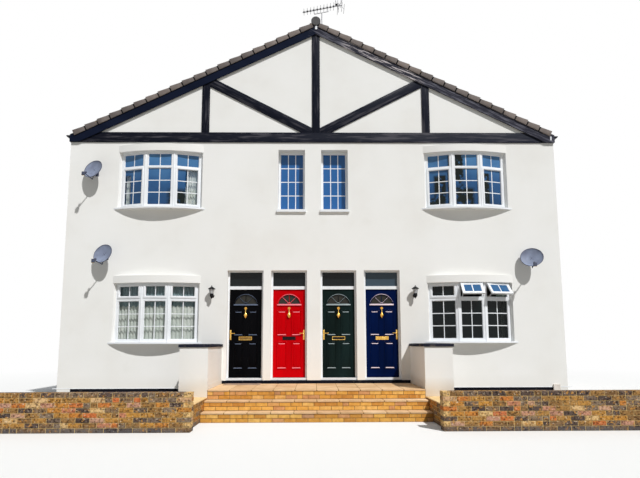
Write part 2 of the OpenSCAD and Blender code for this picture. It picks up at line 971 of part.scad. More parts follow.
module aerial_mast() {
  foot = verge_at(mast_x) - verge_rise - 20;
  color("silver")
    difference() {
      union() {
        translate([mast_x, mast_y, foot]) {
          cylinder(r = 18, h = cradle_z - foot);
          cylinder(r = 40, h = 60);
        }
        at_cradle() {
          block([-198, -8, -8], [178, 8, 8]);
          for (x = [-190, 170]) block([x - 8, -8, -8], [x + 8, 8, boom_low]);
        }
      }
      slope(1);
    }
}

module aerial_boom() {
  color("silver")
    at_cradle() {
      block([-485, -boom_w / 2, boom_low], [490, boom_w / 2, boom_low + boom_w]);
      for (i = [0 : 9]) rod([-450 + i * 88, 0, boom_mid], 260 + i * 6);
    }
}

// A rod along Y about its middle
module rod(at, l) {
  translate(at + [0, -l / 2, 0]) rotate([-90, 0, 0]) cylinder(r = rod_r, h = l);
}

module aerial_reflector() {
  color("silver")
    at_cradle()
      translate([504, 0, boom_mid]) {
        block([-14, -15, -18], [60, 15, 18]);
        for (a = [-35, 35])
          rotate([0, a, 0]) {
            for (z = [-150, -75, 75, 150]) rod([0, 0, z], 380);
            translate([0, 0, -160]) cylinder(r = rod_r, h = 320);
          }
      }
}

module meter_box() {
  color("white")
    block([5505, -40, 320], [5660, 0, 510]);
}

front_piers();
front_spandrels();
door_piers();
front_wall_centre();
gable_walls();
side_walls();
rear_piers();
rear_spandrels();
plinths();
doorstep_base();
ground_floor();
upper_floors();
roof_left();
roof_right();
ridge_tiles();
verge_caps();
bargeboards();
eaves_boards();
gutters();
gable_timbers();
bow_frames();
bow_glass();
bow_sills();
bow_heads();
open_vents();
flat_frames();
flat_glass();
flat_sills();
door_frames();
thresholds();
transom_glass();
frame_hinges();
leaf(doors[0]);  // leaf_black
fanlight(doors[0]);  // fanlight_black
brassware(doors[0]);  // brass_black
leaf(doors[1]);  // leaf_red
fanlight(doors[1]);  // fanlight_red
brassware(doors[1]);  // brass_red
leaf(doors[2]);  // leaf_green
fanlight(doors[2]);  // fanlight_green
brassware(doors[2]);  // brass_green
leaf(doors[3]);  // leaf_blue
fanlight(doors[3]);  // fanlight_blue
brassware(doors[3]);  // brass_blue
steps_brickwork();
step_paving();
parapets();
copings();
flank_walls();
garden_walls();
lanterns();
dishes();
aerial_mast();
aerial_boom();
aerial_reflector();
meter_box();
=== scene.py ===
import math
import random

import bpy
from mathutils import Matrix, Vector


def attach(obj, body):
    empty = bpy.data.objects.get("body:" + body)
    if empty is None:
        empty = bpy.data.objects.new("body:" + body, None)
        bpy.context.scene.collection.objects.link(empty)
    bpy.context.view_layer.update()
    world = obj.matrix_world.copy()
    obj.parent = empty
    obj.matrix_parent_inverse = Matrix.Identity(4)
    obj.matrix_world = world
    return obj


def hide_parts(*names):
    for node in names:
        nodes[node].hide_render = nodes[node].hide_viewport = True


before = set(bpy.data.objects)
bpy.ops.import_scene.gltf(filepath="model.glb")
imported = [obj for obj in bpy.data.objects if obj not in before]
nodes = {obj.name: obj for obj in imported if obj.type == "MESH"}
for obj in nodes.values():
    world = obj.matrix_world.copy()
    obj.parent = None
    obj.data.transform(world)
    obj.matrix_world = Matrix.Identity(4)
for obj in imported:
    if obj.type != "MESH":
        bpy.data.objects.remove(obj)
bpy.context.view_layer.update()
print("frame loaded")

# Camera, solved from the straight lines of the front

cameraValues = {
    "place": (0.0, -11.6, 1.474), "pitch": 6.89, "yaw": 0.72, "roll": 0.168,
    "lens": 28.0125, "sensor": 36, "shiftUp": 0.0677,
}


def placeCamera():
    v = cameraValues
    pitch, yaw, roll = (math.radians(v[key]) for key in ("pitch", "yaw", "roll"))
    ahead = Vector((math.sin(yaw) * math.cos(pitch), math.cos(yaw) * math.cos(pitch), math.sin(pitch)))
    level = Vector((math.cos(yaw), -math.sin(yaw), 0))
    upright = level.cross(ahead)
    right = level * math.cos(roll) - upright * math.sin(roll)
    top = upright * math.cos(roll) + level * math.sin(roll)
    bpy.ops.object.camera_add(location=v["place"])
    camera = bpy.context.object
    camera.name = "front_camera"
    camera.rotation_euler = Matrix((right, top, -ahead)).transposed().to_euler()
    camera.data.lens = v["lens"]
    camera.data.sensor_width = v["sensor"]
    camera.data.shift_y = v["shiftUp"]
    bpy.context.scene.camera = camera
    print("camera placed")


# Small helpers for modelling

modelValues = {"faceOn": 0.9, "sameSpot": 1e-4, "roundAngle": 35, "smoothAngle": 40, "sides": 24}


def at(x, y, z):
    return Matrix.Translation((x, y, z))


def turned(angle, axis):
    return Matrix.Rotation(math.radians(angle), 4, axis)


def scaled(x, y, z):
    return Matrix.Diagonal((x, y, z, 1))


def clearSelection():
    if bpy.context.mode != "OBJECT":
        bpy.ops.object.mode_set(mode="OBJECT")
    bpy.ops.object.select_all(action="DESELECT")


def activate(piece):
    clearSelection()
    piece.select_set(True)
    bpy.context.view_layer.objects.active = piece


def editAll(piece):
    activate(piece)
    bpy.ops.object.mode_set(mode="EDIT")
    bpy.ops.mesh.select_all(action="SELECT")


def endEdit():
    bpy.ops.object.mode_set(mode="OBJECT")


def applyScale(piece, scale):
    piece.scale = scale
    bpy.ops.object.transform_apply(location=True, rotation=True, scale=True)
    return piece


def startBox(name, low, high):
    clearSelection()
    middle = [(a + b) / 2 for a, b in zip(low, high)]
    bpy.ops.mesh.primitive_cube_add(size=1, location=middle)
    bpy.context.object.name = name
    return applyScale(bpy.context.object, [b - a for a, b in zip(low, high)])


def pickFaces(piece, test):
    activate(piece)
    bpy.ops.object.mode_set(mode="EDIT")
    bpy.ops.mesh.select_mode(type="FACE")
    bpy.ops.mesh.select_all(action="DESELECT")
    endEdit()
    for face in piece.data.polygons:
        face.select = test(face)
    bpy.ops.object.mode_set(mode="EDIT")


def pickSide(piece, axis, sign):
    # the faces that look along an axis, 0 to 2, in the direction of the sign
    pickFaces(piece, lambda face: face.normal[axis] * sign > modelValues["faceOn"])


def insetSide(piece, axis, sign, *steps):
    # insets the faces of one side, once for each (thickness, depth) given
    pickSide(piece, axis, sign)
    for thickness, depth in steps:
        bpy.ops.mesh.inset(thickness=thickness, depth=depth)
    endEdit()


def taperSide(piece, axis, sign, size):
    pickSide(piece, axis, sign)
    bpy.ops.transform.resize(value=size)
    endEdit()


def roundEdges(piece, width, segments=1, angle=modelValues["roundAngle"]):
    activate(piece)
    bpy.ops.object.modifier_add(type="BEVEL")
    bevel = piece.modifiers[-1]
    bevel.width = width
    bevel.segments = segments
    bevel.limit_method = "ANGLE"
    bevel.angle_limit = math.radians(angle)
    bpy.ops.object.modifier_apply(modifier=bevel.name)
    return piece


def spanBox(name, x, y, z, width=0.0, segments=2):
    # a box from its spans along the three axes, its edges rounded where a width is given
    box = startBox(name, *zip(x, y, z))
    return roundEdges(box, width, segments) if width else box


def smooth(piece, angle=modelValues["smoothAngle"]):
    activate(piece)
    bpy.ops.object.shade_smooth_by_angle(angle=math.radians(angle))
    return piece


def joinPieces(name, pieces):
    clearSelection()
    for piece in pieces:
        piece.select_set(True)
    bpy.context.view_layer.objects.active = pieces[0]
    if len(pieces) > 1:
        bpy.ops.object.join()
    pieces[0].name = name
    pieces[0].data.name = name
    return pieces[0]


def placeMesh(piece, matrix):
    piece.data.transform(matrix)
    if matrix.determinant() < 0:
        piece.data.flip_normals()
    return piece


def copyAt(model, matrix):
    copy = model.copy()
    copy.data = model.data.copy()
    bpy.context.collection.objects.link(copy)
    return placeMesh(copy, matrix)


def layCopies(name, model, places):
    # places holds (matrix, tone) pairs, and the tone varies the colour from copy to copy
    copies = []
    for matrix, tone in places:
        copy = copyAt(model, matrix)
        layer = copy.data.attributes.new("tone", "FLOAT", "FACE")
        layer.data.foreach_set("value", [tone] * len(copy.data.polygons))
        copies.append(copy)
    return joinPieces(name, copies)


def removePieces(*pieces):
    for piece in pieces:
        bpy.data.objects.remove(piece)


def makeTurned(name, rings, matrix=None, sides=modelValues["sides"]):
    # rings holds (radius, height) pairs from one end of the shape to the other, about Z
    clearSelection()
    radius, height = rings[0]
    bpy.ops.mesh.primitive_circle_add(vertices=sides, radius=radius, fill_type="NGON",
                                      location=(0, 0, height))
    piece = applyScale(bpy.context.object, (1, 1, 1))
    piece.name = name
    editAll(piece)
    for wide, high in rings[1:]:
        bpy.ops.mesh.extrude_region_move(TRANSFORM_OT_translate={"value": (0, 0, high - height)})
        bpy.ops.transform.resize(value=(wide / radius, wide / radius, 1))
        radius, height = wide, high
    bpy.ops.mesh.select_all(action="SELECT")
    bpy.ops.mesh.normals_make_consistent(inside=False)
    endEdit()
    return placeMesh(piece, matrix) if matrix else piece


def spinOutline(piece, steps, angle):
    # turns an outline about the Y axis, and leaves all of it selected for editing
    editAll(piece)
    bpy.ops.mesh.spin(steps=steps, angle=math.radians(angle), center=(0, 0, 0), axis=(0, 1, 0))
    bpy.ops.mesh.select_all(action="SELECT")


def makeRing(name, low, high, depth, flat, slope, fall):
    # a frame in the X and Z plane: flat border, then a slope that falls back towards the glass
    v = modelValues
    ring = startBox(name, (low[0], depth[0], low[1]), (high[0], depth[1], high[1]))
    midX, midZ = (low[0] + high[0]) / 2, (low[1] + high[1]) / 2
    insetSide(ring, 1, -1, (flat, 0.0), (slope, -fall))
    insetSide(ring, 1, 1, (flat + slope, 0.0))
    pickFaces(ring, lambda face: abs(face.normal.y) > v["faceOn"]
              and abs(face.center.x - midX) < v["sameSpot"] and abs(face.center.z - midZ) < v["sameSpot"])
    bpy.ops.mesh.bridge_edge_loops()
    endEdit()
    return ring


def setFinish(piece, finish):
    piece.data.materials.clear()
    piece.data.materials.append(finishes[finish])


def dress(piece, body, finish=None, replaced=None):
    # finish names one of the finishes, replaced the CAD node whose form the piece takes over
    if finish:
        setFinish(piece, finish)
    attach(piece, body)
    if replaced:
        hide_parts(replaced)


# Helpers for materials, all made of shader nodes on Object coordinates

def shade(red, green, blue):
    # a colour as seen on a screen, from 0 to 255, in the shader's linear light
    def toLinear(value):
        value = value / 255
        return value / 12.92 if value <= 0.04045 else ((value + 0.055) / 1.055) ** 2.4

    return (toLinear(red), toLinear(green), toLinear(blue), 1)


def startMaterial(name):
    material = bpy.data.materials.new(name)
    material.use_nodes = True
    return material, material.node_tree, material.node_tree.nodes["Principled BSDF"]


def feed(tree, node, sockets):
    # each socket gets the plain value, or a link from the output, that is given for it
    for key, value in sockets.items():
        if isinstance(value, bpy.types.NodeSocket):
            tree.links.new(value, node.inputs[key])
        else:
            node.inputs[key].default_value = value


def addNode(tree, kind, sockets, **settings):
    node = tree.nodes.new("ShaderNode" + kind)
    for key, value in settings.items():
        setattr(node, key, value)
    feed(tree, node, sockets)
    return node


def addPlace(tree):
    return addNode(tree, "TexCoord", {}).outputs["Object"]


def addPattern(tree, size, detail=4, stretch=(1, 1, 1), turn=(0, 0, 0)):
    angles = [math.radians(angle) for angle in turn]
    sockets = {"Vector": addPlace(tree), "Scale": stretch, "Rotation": angles}
    mapping = addNode(tree, "Mapping", sockets, vector_type="TEXTURE")
    sockets = {"Vector": mapping.outputs["Vector"], "Scale": 1 / size, "Detail": detail}
    return addNode(tree, "TexNoise", sockets).outputs["Fac"]


def addRamp(tree, factor, stops):
    ramp = addNode(tree, "ValToRGB", {"Fac": factor})
    elements = ramp.color_ramp.elements
    while len(elements) < len(stops):
        elements.new(0.5)
    for element, (place, colour) in zip(elements, stops):
        element.position = place
        element.color = shade(*colour)
    return ramp.outputs["Color"]


def addSpread(tree, factor, fromLow, fromHigh, toLow, toHigh):
    sockets = {"Value": factor, "From Min": fromLow, "From Max": fromHigh, "To Min": toLow, "To Max": toHigh}
    return addNode(tree, "MapRange", sockets).outputs["Result"]


def addMix(tree, factor, first, second, blend="MIX"):
    mix = addNode(tree, "Mix", {0: factor, 6: first, 7: second}, data_type="RGBA", blend_type=blend)
    return mix.outputs[2]


def addMath(tree, kind, first, second=0.0, clamp=True):
    return addNode(tree, "Math", {0: first, 1: second}, operation=kind, use_clamp=clamp).outputs[0]


def addParts(tree, vector):
    return addNode(tree, "SeparateXYZ", {0: vector}).outputs


def addAlong(tree, axis):
    return addParts(tree, addPlace(tree))[axis]


def addBand(tree, axis, low, high, soft):
    # 1 between two places along an axis, falling to 0 over the soft length beyond them
    along = addAlong(tree, axis)
    return addMath(tree, "MULTIPLY", addSpread(tree, along, low - soft, low, 0.0, 1.0),
                   addSpread(tree, along, high, high + soft, 1.0, 0.0))


def addBox(tree, x0, x1, z0, z1, soft):
    return addMath(tree, "MULTIPLY", addBand(tree, "X", x0, x1, soft), addBand(tree, "Z", z0, z1, soft))


def addBump(tree, height, distance, strength):
    sockets = {"Height": height, "Distance": distance, "Strength": strength}
    return addNode(tree, "Bump", sockets).outputs["Normal"]


# Finishes

plainLooks = {
    "stretch": (1, 1, 1), "turn": (0, 0, 0), "bumpStrength": 0.6, "metal": 0.0, "gloss": 0.4,
    "across": [], "wear": [], "soil": [], "bands": [], "glareAndWearPatches": [],
}
# the part of a pattern that counts, for patches and for flecks, how far a face has to lean up for its
# painted highlight, the share of the soil by patches, and the detail of the patterns
patternValues = {
    "range": (0.3, 0.7), "flecks": (0.5, 0.72), "lean": (0.2, 0.35), "soilShare": (0.2, 1.6),
    "patchDetail": 5, "grainDetail": 3, "wornDetail": 6,
}


def makeFinish(name, looks):
    # colours: low and high end of the broad patches, or stops for more of them; tones: ramp from copy
    # to copy; flecks: amount and colour; across: from X, to X, amount, colour; wear: size, start, full,
    # amount, colour of patches that show through; soil: from Z, to Z, amount, colour; bands: box and
    # colour; patches of painted glare and worn paint: box, size, start, full, colour; painted highlight on
    # faces that lean up: amount and colour; bump: depth of the fine grain in metres
    v = patternValues
    looks = {**plainLooks, **looks}
    material, tree, shader = startMaterial(name)

    def pattern(size, detail):
        return addPattern(tree, size, detail, looks["stretch"], looks["turn"])

    def tinted(mask, colour, tint):
        return addMix(tree, mask, colour, shade(*tint))

    patches, grain = pattern(looks["patch"], v["patchDetail"]), pattern(looks["grain"], v["grainDetail"])
    stops = looks["stops"] if "stops" in looks else list(zip(v["range"], looks["colours"]))
    colour = addRamp(tree, patches, stops)
    if "tones" in looks:
        tone = addNode(tree, "Attribute", {}, attribute_name="tone").outputs["Fac"]
        colour = addMix(tree, 1.0, addRamp(tree, tone, looks["tones"]), colour, "MULTIPLY")
    if "flecks" in looks:
        amount, tint = looks["flecks"]
        colour = tinted(addSpread(tree, grain, *v["flecks"], 0.0, amount), colour, tint)
    for low, high, amount, tint in looks["across"]:
        colour = tinted(addSpread(tree, addAlong(tree, "X"), low, high, 0.0, amount), colour, tint)
    for size, start, full, amount, tint in looks["wear"]:
        worn = addSpread(tree, pattern(size, v["wornDetail"]), start, full, 0.0, amount)
        colour = tinted(worn, colour, tint)
    for low, high, amount, tint in looks["soil"]:
        rise = addSpread(tree, addAlong(tree, "Z"), low, high, amount, 0.0)
        share = addSpread(tree, patches, *v["range"], *v["soilShare"])
        colour = tinted(addMath(tree, "MULTIPLY", rise, share), colour, tint)
    for box, tint in looks["bands"]:
        colour = tinted(addBox(tree, *box), colour, tint)
    # patches in a box, part painted glare and part worn paint
    for box, size, start, full, tint in looks["glareAndWearPatches"]:
        worn = addSpread(tree, pattern(size, v["wornDetail"]), start, full, 0.0, 1.0)
        colour = tinted(addMath(tree, "MULTIPLY", worn, addBox(tree, *box)), colour, tint)
    # painted highlight: a pale tint on faces that lean up, by their true normal
    if "facing" in looks:
        amount, tint = looks["facing"]
        normal = addNode(tree, "NewGeometry", {}).outputs["True Normal"]
        colour = tinted(addSpread(tree, addParts(tree, normal)["Z"], *v["lean"], 0.0, amount), colour, tint)
    feed(tree, shader, {
        "Base Color": colour, "Roughness": addSpread(tree, patches, *v["range"], *looks["rough"]),
        "Metallic": looks["metal"], "Specular IOR Level": looks["gloss"],
        "Normal": addBump(tree, grain, looks["bump"], looks["bumpStrength"]),
    })
    return material


finishValues = {
    "wallRender": {
        "stops": [(0.30, (234, 232, 227)), (0.50, (239, 238, 234)), (0.72, (242, 241, 238))],
        "patch": 1.4, "grain": 0.012, "rough": (0.75, 0.9), "bump": 0.0016, "gloss": 0.15,
        "soil": [(0.0, 0.75, 0.25, (190, 180, 160))],
        "wear": [(0.5, 0.60, 0.85, 0.18, (214, 210, 198))],
    },
    "plinthPaint": {
        "colours": ((10, 11, 18), (24, 26, 36)),
        "patch": 0.5, "grain": 0.01, "rough": (0.5, 0.75), "bump": 0.0016, "gloss": 0.05,
        "soil": [(0.0, 0.18, 0.5, (120, 112, 98))],
        "wear": [(0.11, 0.62, 0.75, 0.35, (96, 92, 84))],
    },
    "whitePlastic": {
        "colours": ((232, 235, 238), (240, 242, 244)),
        "patch": 0.6, "grain": 0.02, "rough": (0.22, 0.34), "bump": 0.0002,
        "wear": [(0.25, 0.64, 0.85, 0.2, (205, 204, 196))],
    },
    "rainPlastic": {
        "colours": ((14, 15, 18), (28, 30, 34)),
        "patch": 0.6, "grain": 0.02, "rough": (0.3, 0.5), "bump": 0.0003, "gloss": 0.1,
        "wear": [(0.3, 0.6, 0.8, 0.35, (92, 92, 88))],
    },
    "roofTile": {
        "colours": ((150, 150, 150), (255, 255, 255)),
        "tones": [(0.0, (74, 74, 76)), (0.5, (92, 91, 92)), (1.0, (108, 106, 104))],
        "patch": 0.25, "grain": 0.006, "rough": (0.75, 0.95), "bump": 0.0012,
        "flecks": (0.4, (140, 136, 128)),
        "wear": [(0.12, 0.62, 0.72, 0.5, (146, 148, 120)), (0.4, 0.6, 0.8, 0.4, (60, 60, 58))],
    },
    "vergeCap": {
        "colours": ((212, 206, 202), (255, 252, 250)),
        # tone 0 is the joint strip's, near black as painted shade
        "tones": [(0.0, (14, 14, 15)), (0.1, (112, 106, 104)), (0.6, (128, 121, 118)),
                  (1.0, (142, 133, 128))],
        "patch": 0.2, "grain": 0.006, "rough": (0.75, 0.95), "bump": 0.0012, "gloss": 0.15,
        "wear": [(0.12, 0.62, 0.74, 0.4, (132, 112, 84)), (0.3, 0.6, 0.8, 0.3, (78, 74, 74))],
    },
    "roofBed": {
        "colours": ((70, 70, 72), (92, 90, 88)),
        "patch": 0.3, "grain": 0.008, "rough": (0.8, 0.95), "bump": 0.002,
    },
    "stockBrick": {
        "stops": [(0.34, (112, 106, 104)), (0.46, (214, 206, 196)), (0.6, (255, 252, 246))],
        "tones": [
            (0.00, (90, 78, 76)), (0.12, (112, 96, 88)), (0.24, (152, 134, 116)), (0.34, (150, 116, 76)),
            (0.48, (186, 144, 86)), (0.60, (216, 160, 78)), (0.70, (222, 146, 70)), (0.78, (226, 128, 76)),
            (0.84, (214, 168, 146)), (0.91, (242, 206, 146)), (1.00, (250, 212, 146)),
        ],
        "patch": 0.032, "grain": 0.006, "rough": (0.8, 0.95), "bump": 0.004, "bumpStrength": 0.9,
        "gloss": 0.1, "flecks": (0.6, (74, 64, 58)),
        "wear": [
            (0.05, 0.57, 0.67, 0.7, (70, 62, 60)), (0.05, 0.57, 0.67, 0.6, (232, 166, 78)),
            (0.035, 0.60, 0.68, 0.7, (226, 204, 176)), (0.30, 0.68, 0.80, 0.4, (150, 138, 84)),
        ],
        "soil": [(0.0, 0.13, 0.75, (88, 88, 92))],
    },
    "stepBrick": {
        "colours": ((226, 216, 200), (255, 254, 250)),
        "tones": [
            (0.00, (206, 146, 74)), (0.30, (230, 172, 86)), (0.60, (244, 190, 100)),
            (0.85, (248, 202, 120)), (0.93, (226, 168, 114)), (1.00, (204, 158, 122)),
        ],
        "patch": 0.07, "grain": 0.005, "rough": (0.8, 0.95), "bump": 0.003, "bumpStrength": 0.8,
        "gloss": 0.1, "flecks": (0.4, (168, 116, 52)), "wear": [(0.1, 0.62, 0.75, 0.5, (240, 200, 130))],
    },
    "wallMortar": {
        "colours": ((186, 158, 108), (222, 192, 134)),
        "patch": 0.08, "grain": 0.004, "rough": (0.85, 0.97), "bump": 0.002, "gloss": 0.1,
        "wear": [(0.2, 0.6, 0.75, 0.5, (120, 104, 82))],
    },
    "flankTop": {
        "colours": ((226, 190, 134), (244, 212, 158)),
        "patch": 0.12, "grain": 0.006, "rough": (0.85, 0.97), "bump": 0.003, "gloss": 0.1,
        "wear": [(0.1, 0.6, 0.72, 0.6, (160, 122, 76))],
    },
    "stepMortar": {
        "colours": ((122, 94, 60), (166, 132, 86)),
        "patch": 0.08, "grain": 0.004, "rough": (0.85, 0.97), "bump": 0.002, "gloss": 0.1,
    },
    "pavingSlab": {
        "colours": ((228, 218, 204), (255, 252, 248)),
        "tones": [(0.0, (220, 184, 144)), (0.5, (230, 198, 158)), (1.0, (238, 208, 170))],
        "patch": 0.3, "grain": 0.006, "rough": (0.75, 0.9), "bump": 0.001, "gloss": 0.1,
        "flecks": (0.3, (206, 164, 108)), "wear": [(0.25, 0.6, 0.78, 0.4, (214, 172, 116))],
    },
    "copingPaint": {
        "colours": ((20, 22, 34), (42, 44, 58)),
        "patch": 0.2, "grain": 0.008, "rough": (0.55, 0.8), "bump": 0.003, "gloss": 0.1,
        "wear": [(0.08, 0.6, 0.7, 0.6, (96, 88, 84)), (0.16, 0.66, 0.74, 0.8, (160, 138, 104))],
    },
    "brass": {
        "colours": ((226, 172, 74), (246, 206, 118)),
        "patch": 0.06, "grain": 0.003, "rough": (0.2, 0.34), "bump": 0.00002, "metal": 0.85,
    },
    "dullBrass": {
        "colours": ((120, 92, 52), (150, 120, 70)),
        "patch": 0.06, "grain": 0.003, "rough": (0.3, 0.45), "bump": 0.00002, "metal": 1.0,
    },
    "darkMetal": {
        "colours": ((10, 10, 12), (20, 20, 24)),
        "patch": 0.1, "grain": 0.004, "rough": (0.3, 0.5), "bump": 0.0003, "gloss": 0.15,
        "wear": [(0.05, 0.66, 0.75, 0.4, (70, 66, 60))],
    },
    "dishEnamel": {
        "colours": ((116, 122, 142), (142, 152, 174)),
        "patch": 0.15, "grain": 0.004, "rough": (0.45, 0.6), "bump": 0.0003, "gloss": 0.2,
        "wear": [(0.09, 0.6, 0.78, 0.35, (98, 104, 122))],
    },
    "dishEdge": {
        "colours": ((52, 56, 76), (74, 80, 100)),
        "patch": 0.1, "grain": 0.004, "rough": (0.4, 0.6), "bump": 0.0003,
    },
    "aerialMetal": {
        "colours": ((150, 150, 152), (178, 178, 180)),
        "patch": 0.1, "grain": 0.003, "rough": (0.4, 0.6), "bump": 0.0003, "metal": 0.8,
        "wear": [(0.08, 0.6, 0.75, 0.5, (120, 104, 88))],
    },
    "boxPlastic": {
        "colours": ((218, 210, 200), (230, 222, 214)),
        "patch": 0.2, "grain": 0.003, "rough": (0.5, 0.65), "bump": 0.0004,
        "wear": [(0.1, 0.62, 0.8, 0.4, (190, 182, 166))],
    },
    "floorBoards": {
        "colours": ((150, 112, 74), (190, 150, 104)),
        "patch": 0.12, "grain": 0.006, "stretch": (1, 12, 1), "rough": (0.45, 0.65), "bump": 0.0006,
    },
    "floatedConcrete": {
        "colours": ((150, 148, 142), (178, 176, 170)),
        "patch": 0.5, "grain": 0.006, "rough": (0.8, 0.95), "bump": 0.0008,
    },
    "wornMat": {
        "colours": ((148, 124, 110), (184, 156, 134)),
        "patch": 0.1, "grain": 0.004, "rough": (0.85, 0.97), "bump": 0.003, "gloss": 0.1,
        "wear": [(0.12, 0.56, 0.68, 0.7, (216, 178, 130))],
    },
}
# the render beside the steps: painted black below the landing, soiled at its foot on the parapets
finishValues["pierRender"] = {
    **finishValues["wallRender"], "bands": [((-2.115, 2.225, -0.1, 0.612, 0.003), (16, 18, 26))],
}
finishValues["parapetRender"] = {
    **finishValues["wallRender"], "soil": [(0.50, 0.78, 0.45, (196, 168, 126))],
}

doorPaint = {
    "patch": 0.4, "grain": 0.01, "stretch": (1, 1, 6), "rough": (0.16, 0.3), "bump": 0.0003, "gloss": 0.03,
    "wear": [(0.2, 0.72, 0.9, 0.12, (120, 116, 110))],
}
# each door's paint, and the amount and colour of the painted highlight on the slopes of its mouldings
doorPaints = {
    "black": (((3, 3, 5), (8, 8, 11)), (0.8, (95, 105, 124))),
    "red": (((186, 0, 8), (202, 2, 12)), (0.8, (240, 140, 150))),
    "green": (((14, 24, 22), (22, 37, 37)), (0.8, (160, 172, 174))),
    "blue": (((0, 13, 48), (2, 20, 66)), (0.9, (225, 205, 212))),
}
for paintName, (paintColours, paintedSlopeHighlight) in doorPaints.items():
    paint = {**doorPaint, "colours": paintColours}
    finishValues["doorPaint_" + paintName] = paint
    finishValues["doorTrim_" + paintName] = {**paint, "facing": paintedSlopeHighlight}

boardPaint = {
    "colours": ((10, 12, 22), (20, 22, 32)),
    "patch": 0.35, "grain": 0.012, "rough": (0.35, 0.6), "bump": 0.0012, "gloss": 0.03,
    "across": [(-5.8, 5.8, 0.85, (34, 37, 48))],
    "wear": [(0.06, 0.54, 0.66, 0.55, (88, 86, 92)), (0.025, 0.56, 0.66, 0.5, (72, 70, 76))],
}
for boardName, boardStretch, boardTurn in (
    ("board_level", (12, 1, 1), 0), ("board_upright", (1, 1, 12), 0),
    ("board_rising", (12, 1, 1), -27), ("board_falling", (12, 1, 1), 27),
):
    finishValues[boardName] = {**boardPaint, "stretch": boardStretch, "turn": (0, boardTurn, 0)}
# the paint of the bargeboards is lighter right of the apex, most of all on the upper half: partly painted
# glare, partly weathered paint
finishValues["bargePaint"] = {
    **boardPaint, "stretch": (12, 1, 1), "turn": (0, 25, 0), "wear": [],
    "colours": ((14, 20, 36), (22, 29, 48)),
    "across": [(0.03, 0.09, 1.0, (48, 48, 58))],
    "glareAndWearPatches": [((0.10, 5.80, 6.0, 10.0, 0.25), 0.03, 0.48, 0.62, (96, 96, 106)),
               ((0.90, 2.50, 6.0, 10.0, 0.25), 0.03, 0.50, 0.60, (188, 180, 180))],
}
finishes = {name: makeFinish(name, looks) for name, looks in finishValues.items()}

# Glass: painted reflections, dark below and blue above by height, with boxes of another tint, of dark
# patches and of clearer glass

glassValues = {
    "windowGlass": {
        # painted reflections: dark below and blue sky above
        "tints": [(0.00, (8, 12, 12)), (0.40, (12, 20, 20)), (0.58, (20, 32, 34)), (0.74, (28, 60, 96)),
                  (0.86, (44, 88, 136)), (1.00, (80, 132, 180))],
        "high": 6.15, "alpha": 0.93,
        # painted reflections of the sky: bluer glass in the slim windows and in two top lights at the lower
        # right
        "bands": [((-0.95, 0.95, 4.5, 6.2, 0.02), (44, 98, 158)),
                  ((3.38, 4.75, 2.52, 2.90, 0.01), (50, 96, 140))],
        # painted reflections: dark patches in some of the upper panes, where the pattern is strong
        "dark": [
            (-3.40, -2.70, 4.70, 5.05, 0.12), (2.60, 2.90, 4.60, 4.90, 0.06), (2.94, 3.16, 4.60, 5.45, 0.05),
            (3.26, 3.58, 4.60, 6.20, 0.05), (3.50, 3.80, 4.60, 5.10, 0.08), (3.96, 4.22, 4.60, 5.50, 0.05),
        ],
        # clearer where a curtain hangs close behind: box and alpha
        "clear": [
            ((-4.70, -2.60, 1.40, 2.90, 0.02), 0.12), ((-4.66, -4.40, 4.70, 5.46, 0.03), 0.15),
            ((-3.06, -2.60, 4.70, 5.62, 0.03), 0.15), ((4.40, 4.70, 1.40, 2.45, 0.04), 0.6),
        ],
    },
    "fanGlass": {"tints": [(0.0, (34, 32, 28)), (1.0, (54, 52, 46))], "high": 3.2, "alpha": 0.94},
    "transomGlass": {
        "tints": [(0.0, (12, 16, 16)), (1.0, (26, 31, 32))], "high": 3.2, "alpha": 0.92,
        # a painted reflection, paler, on the transom glass over the blue door
        "bands": [((1.0, 2.1, 2.6, 3.3, 0.01), (62, 78, 90))],
    },
    "lampGlass": {"tints": [(0.0, (205, 210, 214)), (1.0, (232, 234, 236))], "high": 3.2, "alpha": 0.45},
}
paneValues = {
    "cloudReflection": (0.55, 3), "cloudReflectionRange": (0.3, 0.7), "cloudReflectionShift": (-0.04, 0.04),
    "darkReflectionPattern": (0.12, 6), "darkReflectionRange": (0.33, 0.45), "darkReflectionTint": (12, 24, 22),
    "wave": (0.6, 1), "waveDepth": 0.004, "waveStrength": 0.2, "rough": 0.04, "gloss": 0.2,
}


def makeGlass(name, looks):
    v = paneValues
    material, tree, shader = startMaterial(name)
    height = addSpread(tree, addAlong(tree, "Z"), 0.0, looks["high"], 0.0, 1.0)
    # a faint painted reflection of clouds shifts the height ramp
    cloudReflections = addSpread(tree, addPattern(tree, *v["cloudReflection"]), *v["cloudReflectionRange"], *v["cloudReflectionShift"])
    colour = addRamp(tree, addMath(tree, "ADD", height, cloudReflections), looks["tints"])
    for box, tint in looks.get("bands", []):
        colour = addMix(tree, addBox(tree, *box), colour, shade(*tint))
    # painted reflections: dark patches where the pattern is strong
    for box in looks.get("dark", []):
        strong = addSpread(tree, addPattern(tree, *v["darkReflectionPattern"]), *v["darkReflectionRange"], 0.0, 1.0)
        mask = addMath(tree, "MULTIPLY", addBox(tree, *box), strong)
        colour = addMix(tree, mask, colour, shade(*v["darkReflectionTint"]))
    alpha = looks["alpha"]
    for box, clear in looks.get("clear", []):
        alpha = addNode(tree, "Mix", {0: addBox(tree, *box), 2: alpha, 3: clear}).outputs[0]
    feed(tree, shader, {
        "Base Color": colour, "Alpha": alpha, "Roughness": v["rough"], "Specular IOR Level": v["gloss"],
        "Normal": addBump(tree, addPattern(tree, *v["wave"]), v["waveDepth"], v["waveStrength"]),
    })
    return material


finishes.update({name: makeGlass(name, looks) for name, looks in glassValues.items()})
print("finishes made")

# CAD nodes that stay, with their finishes

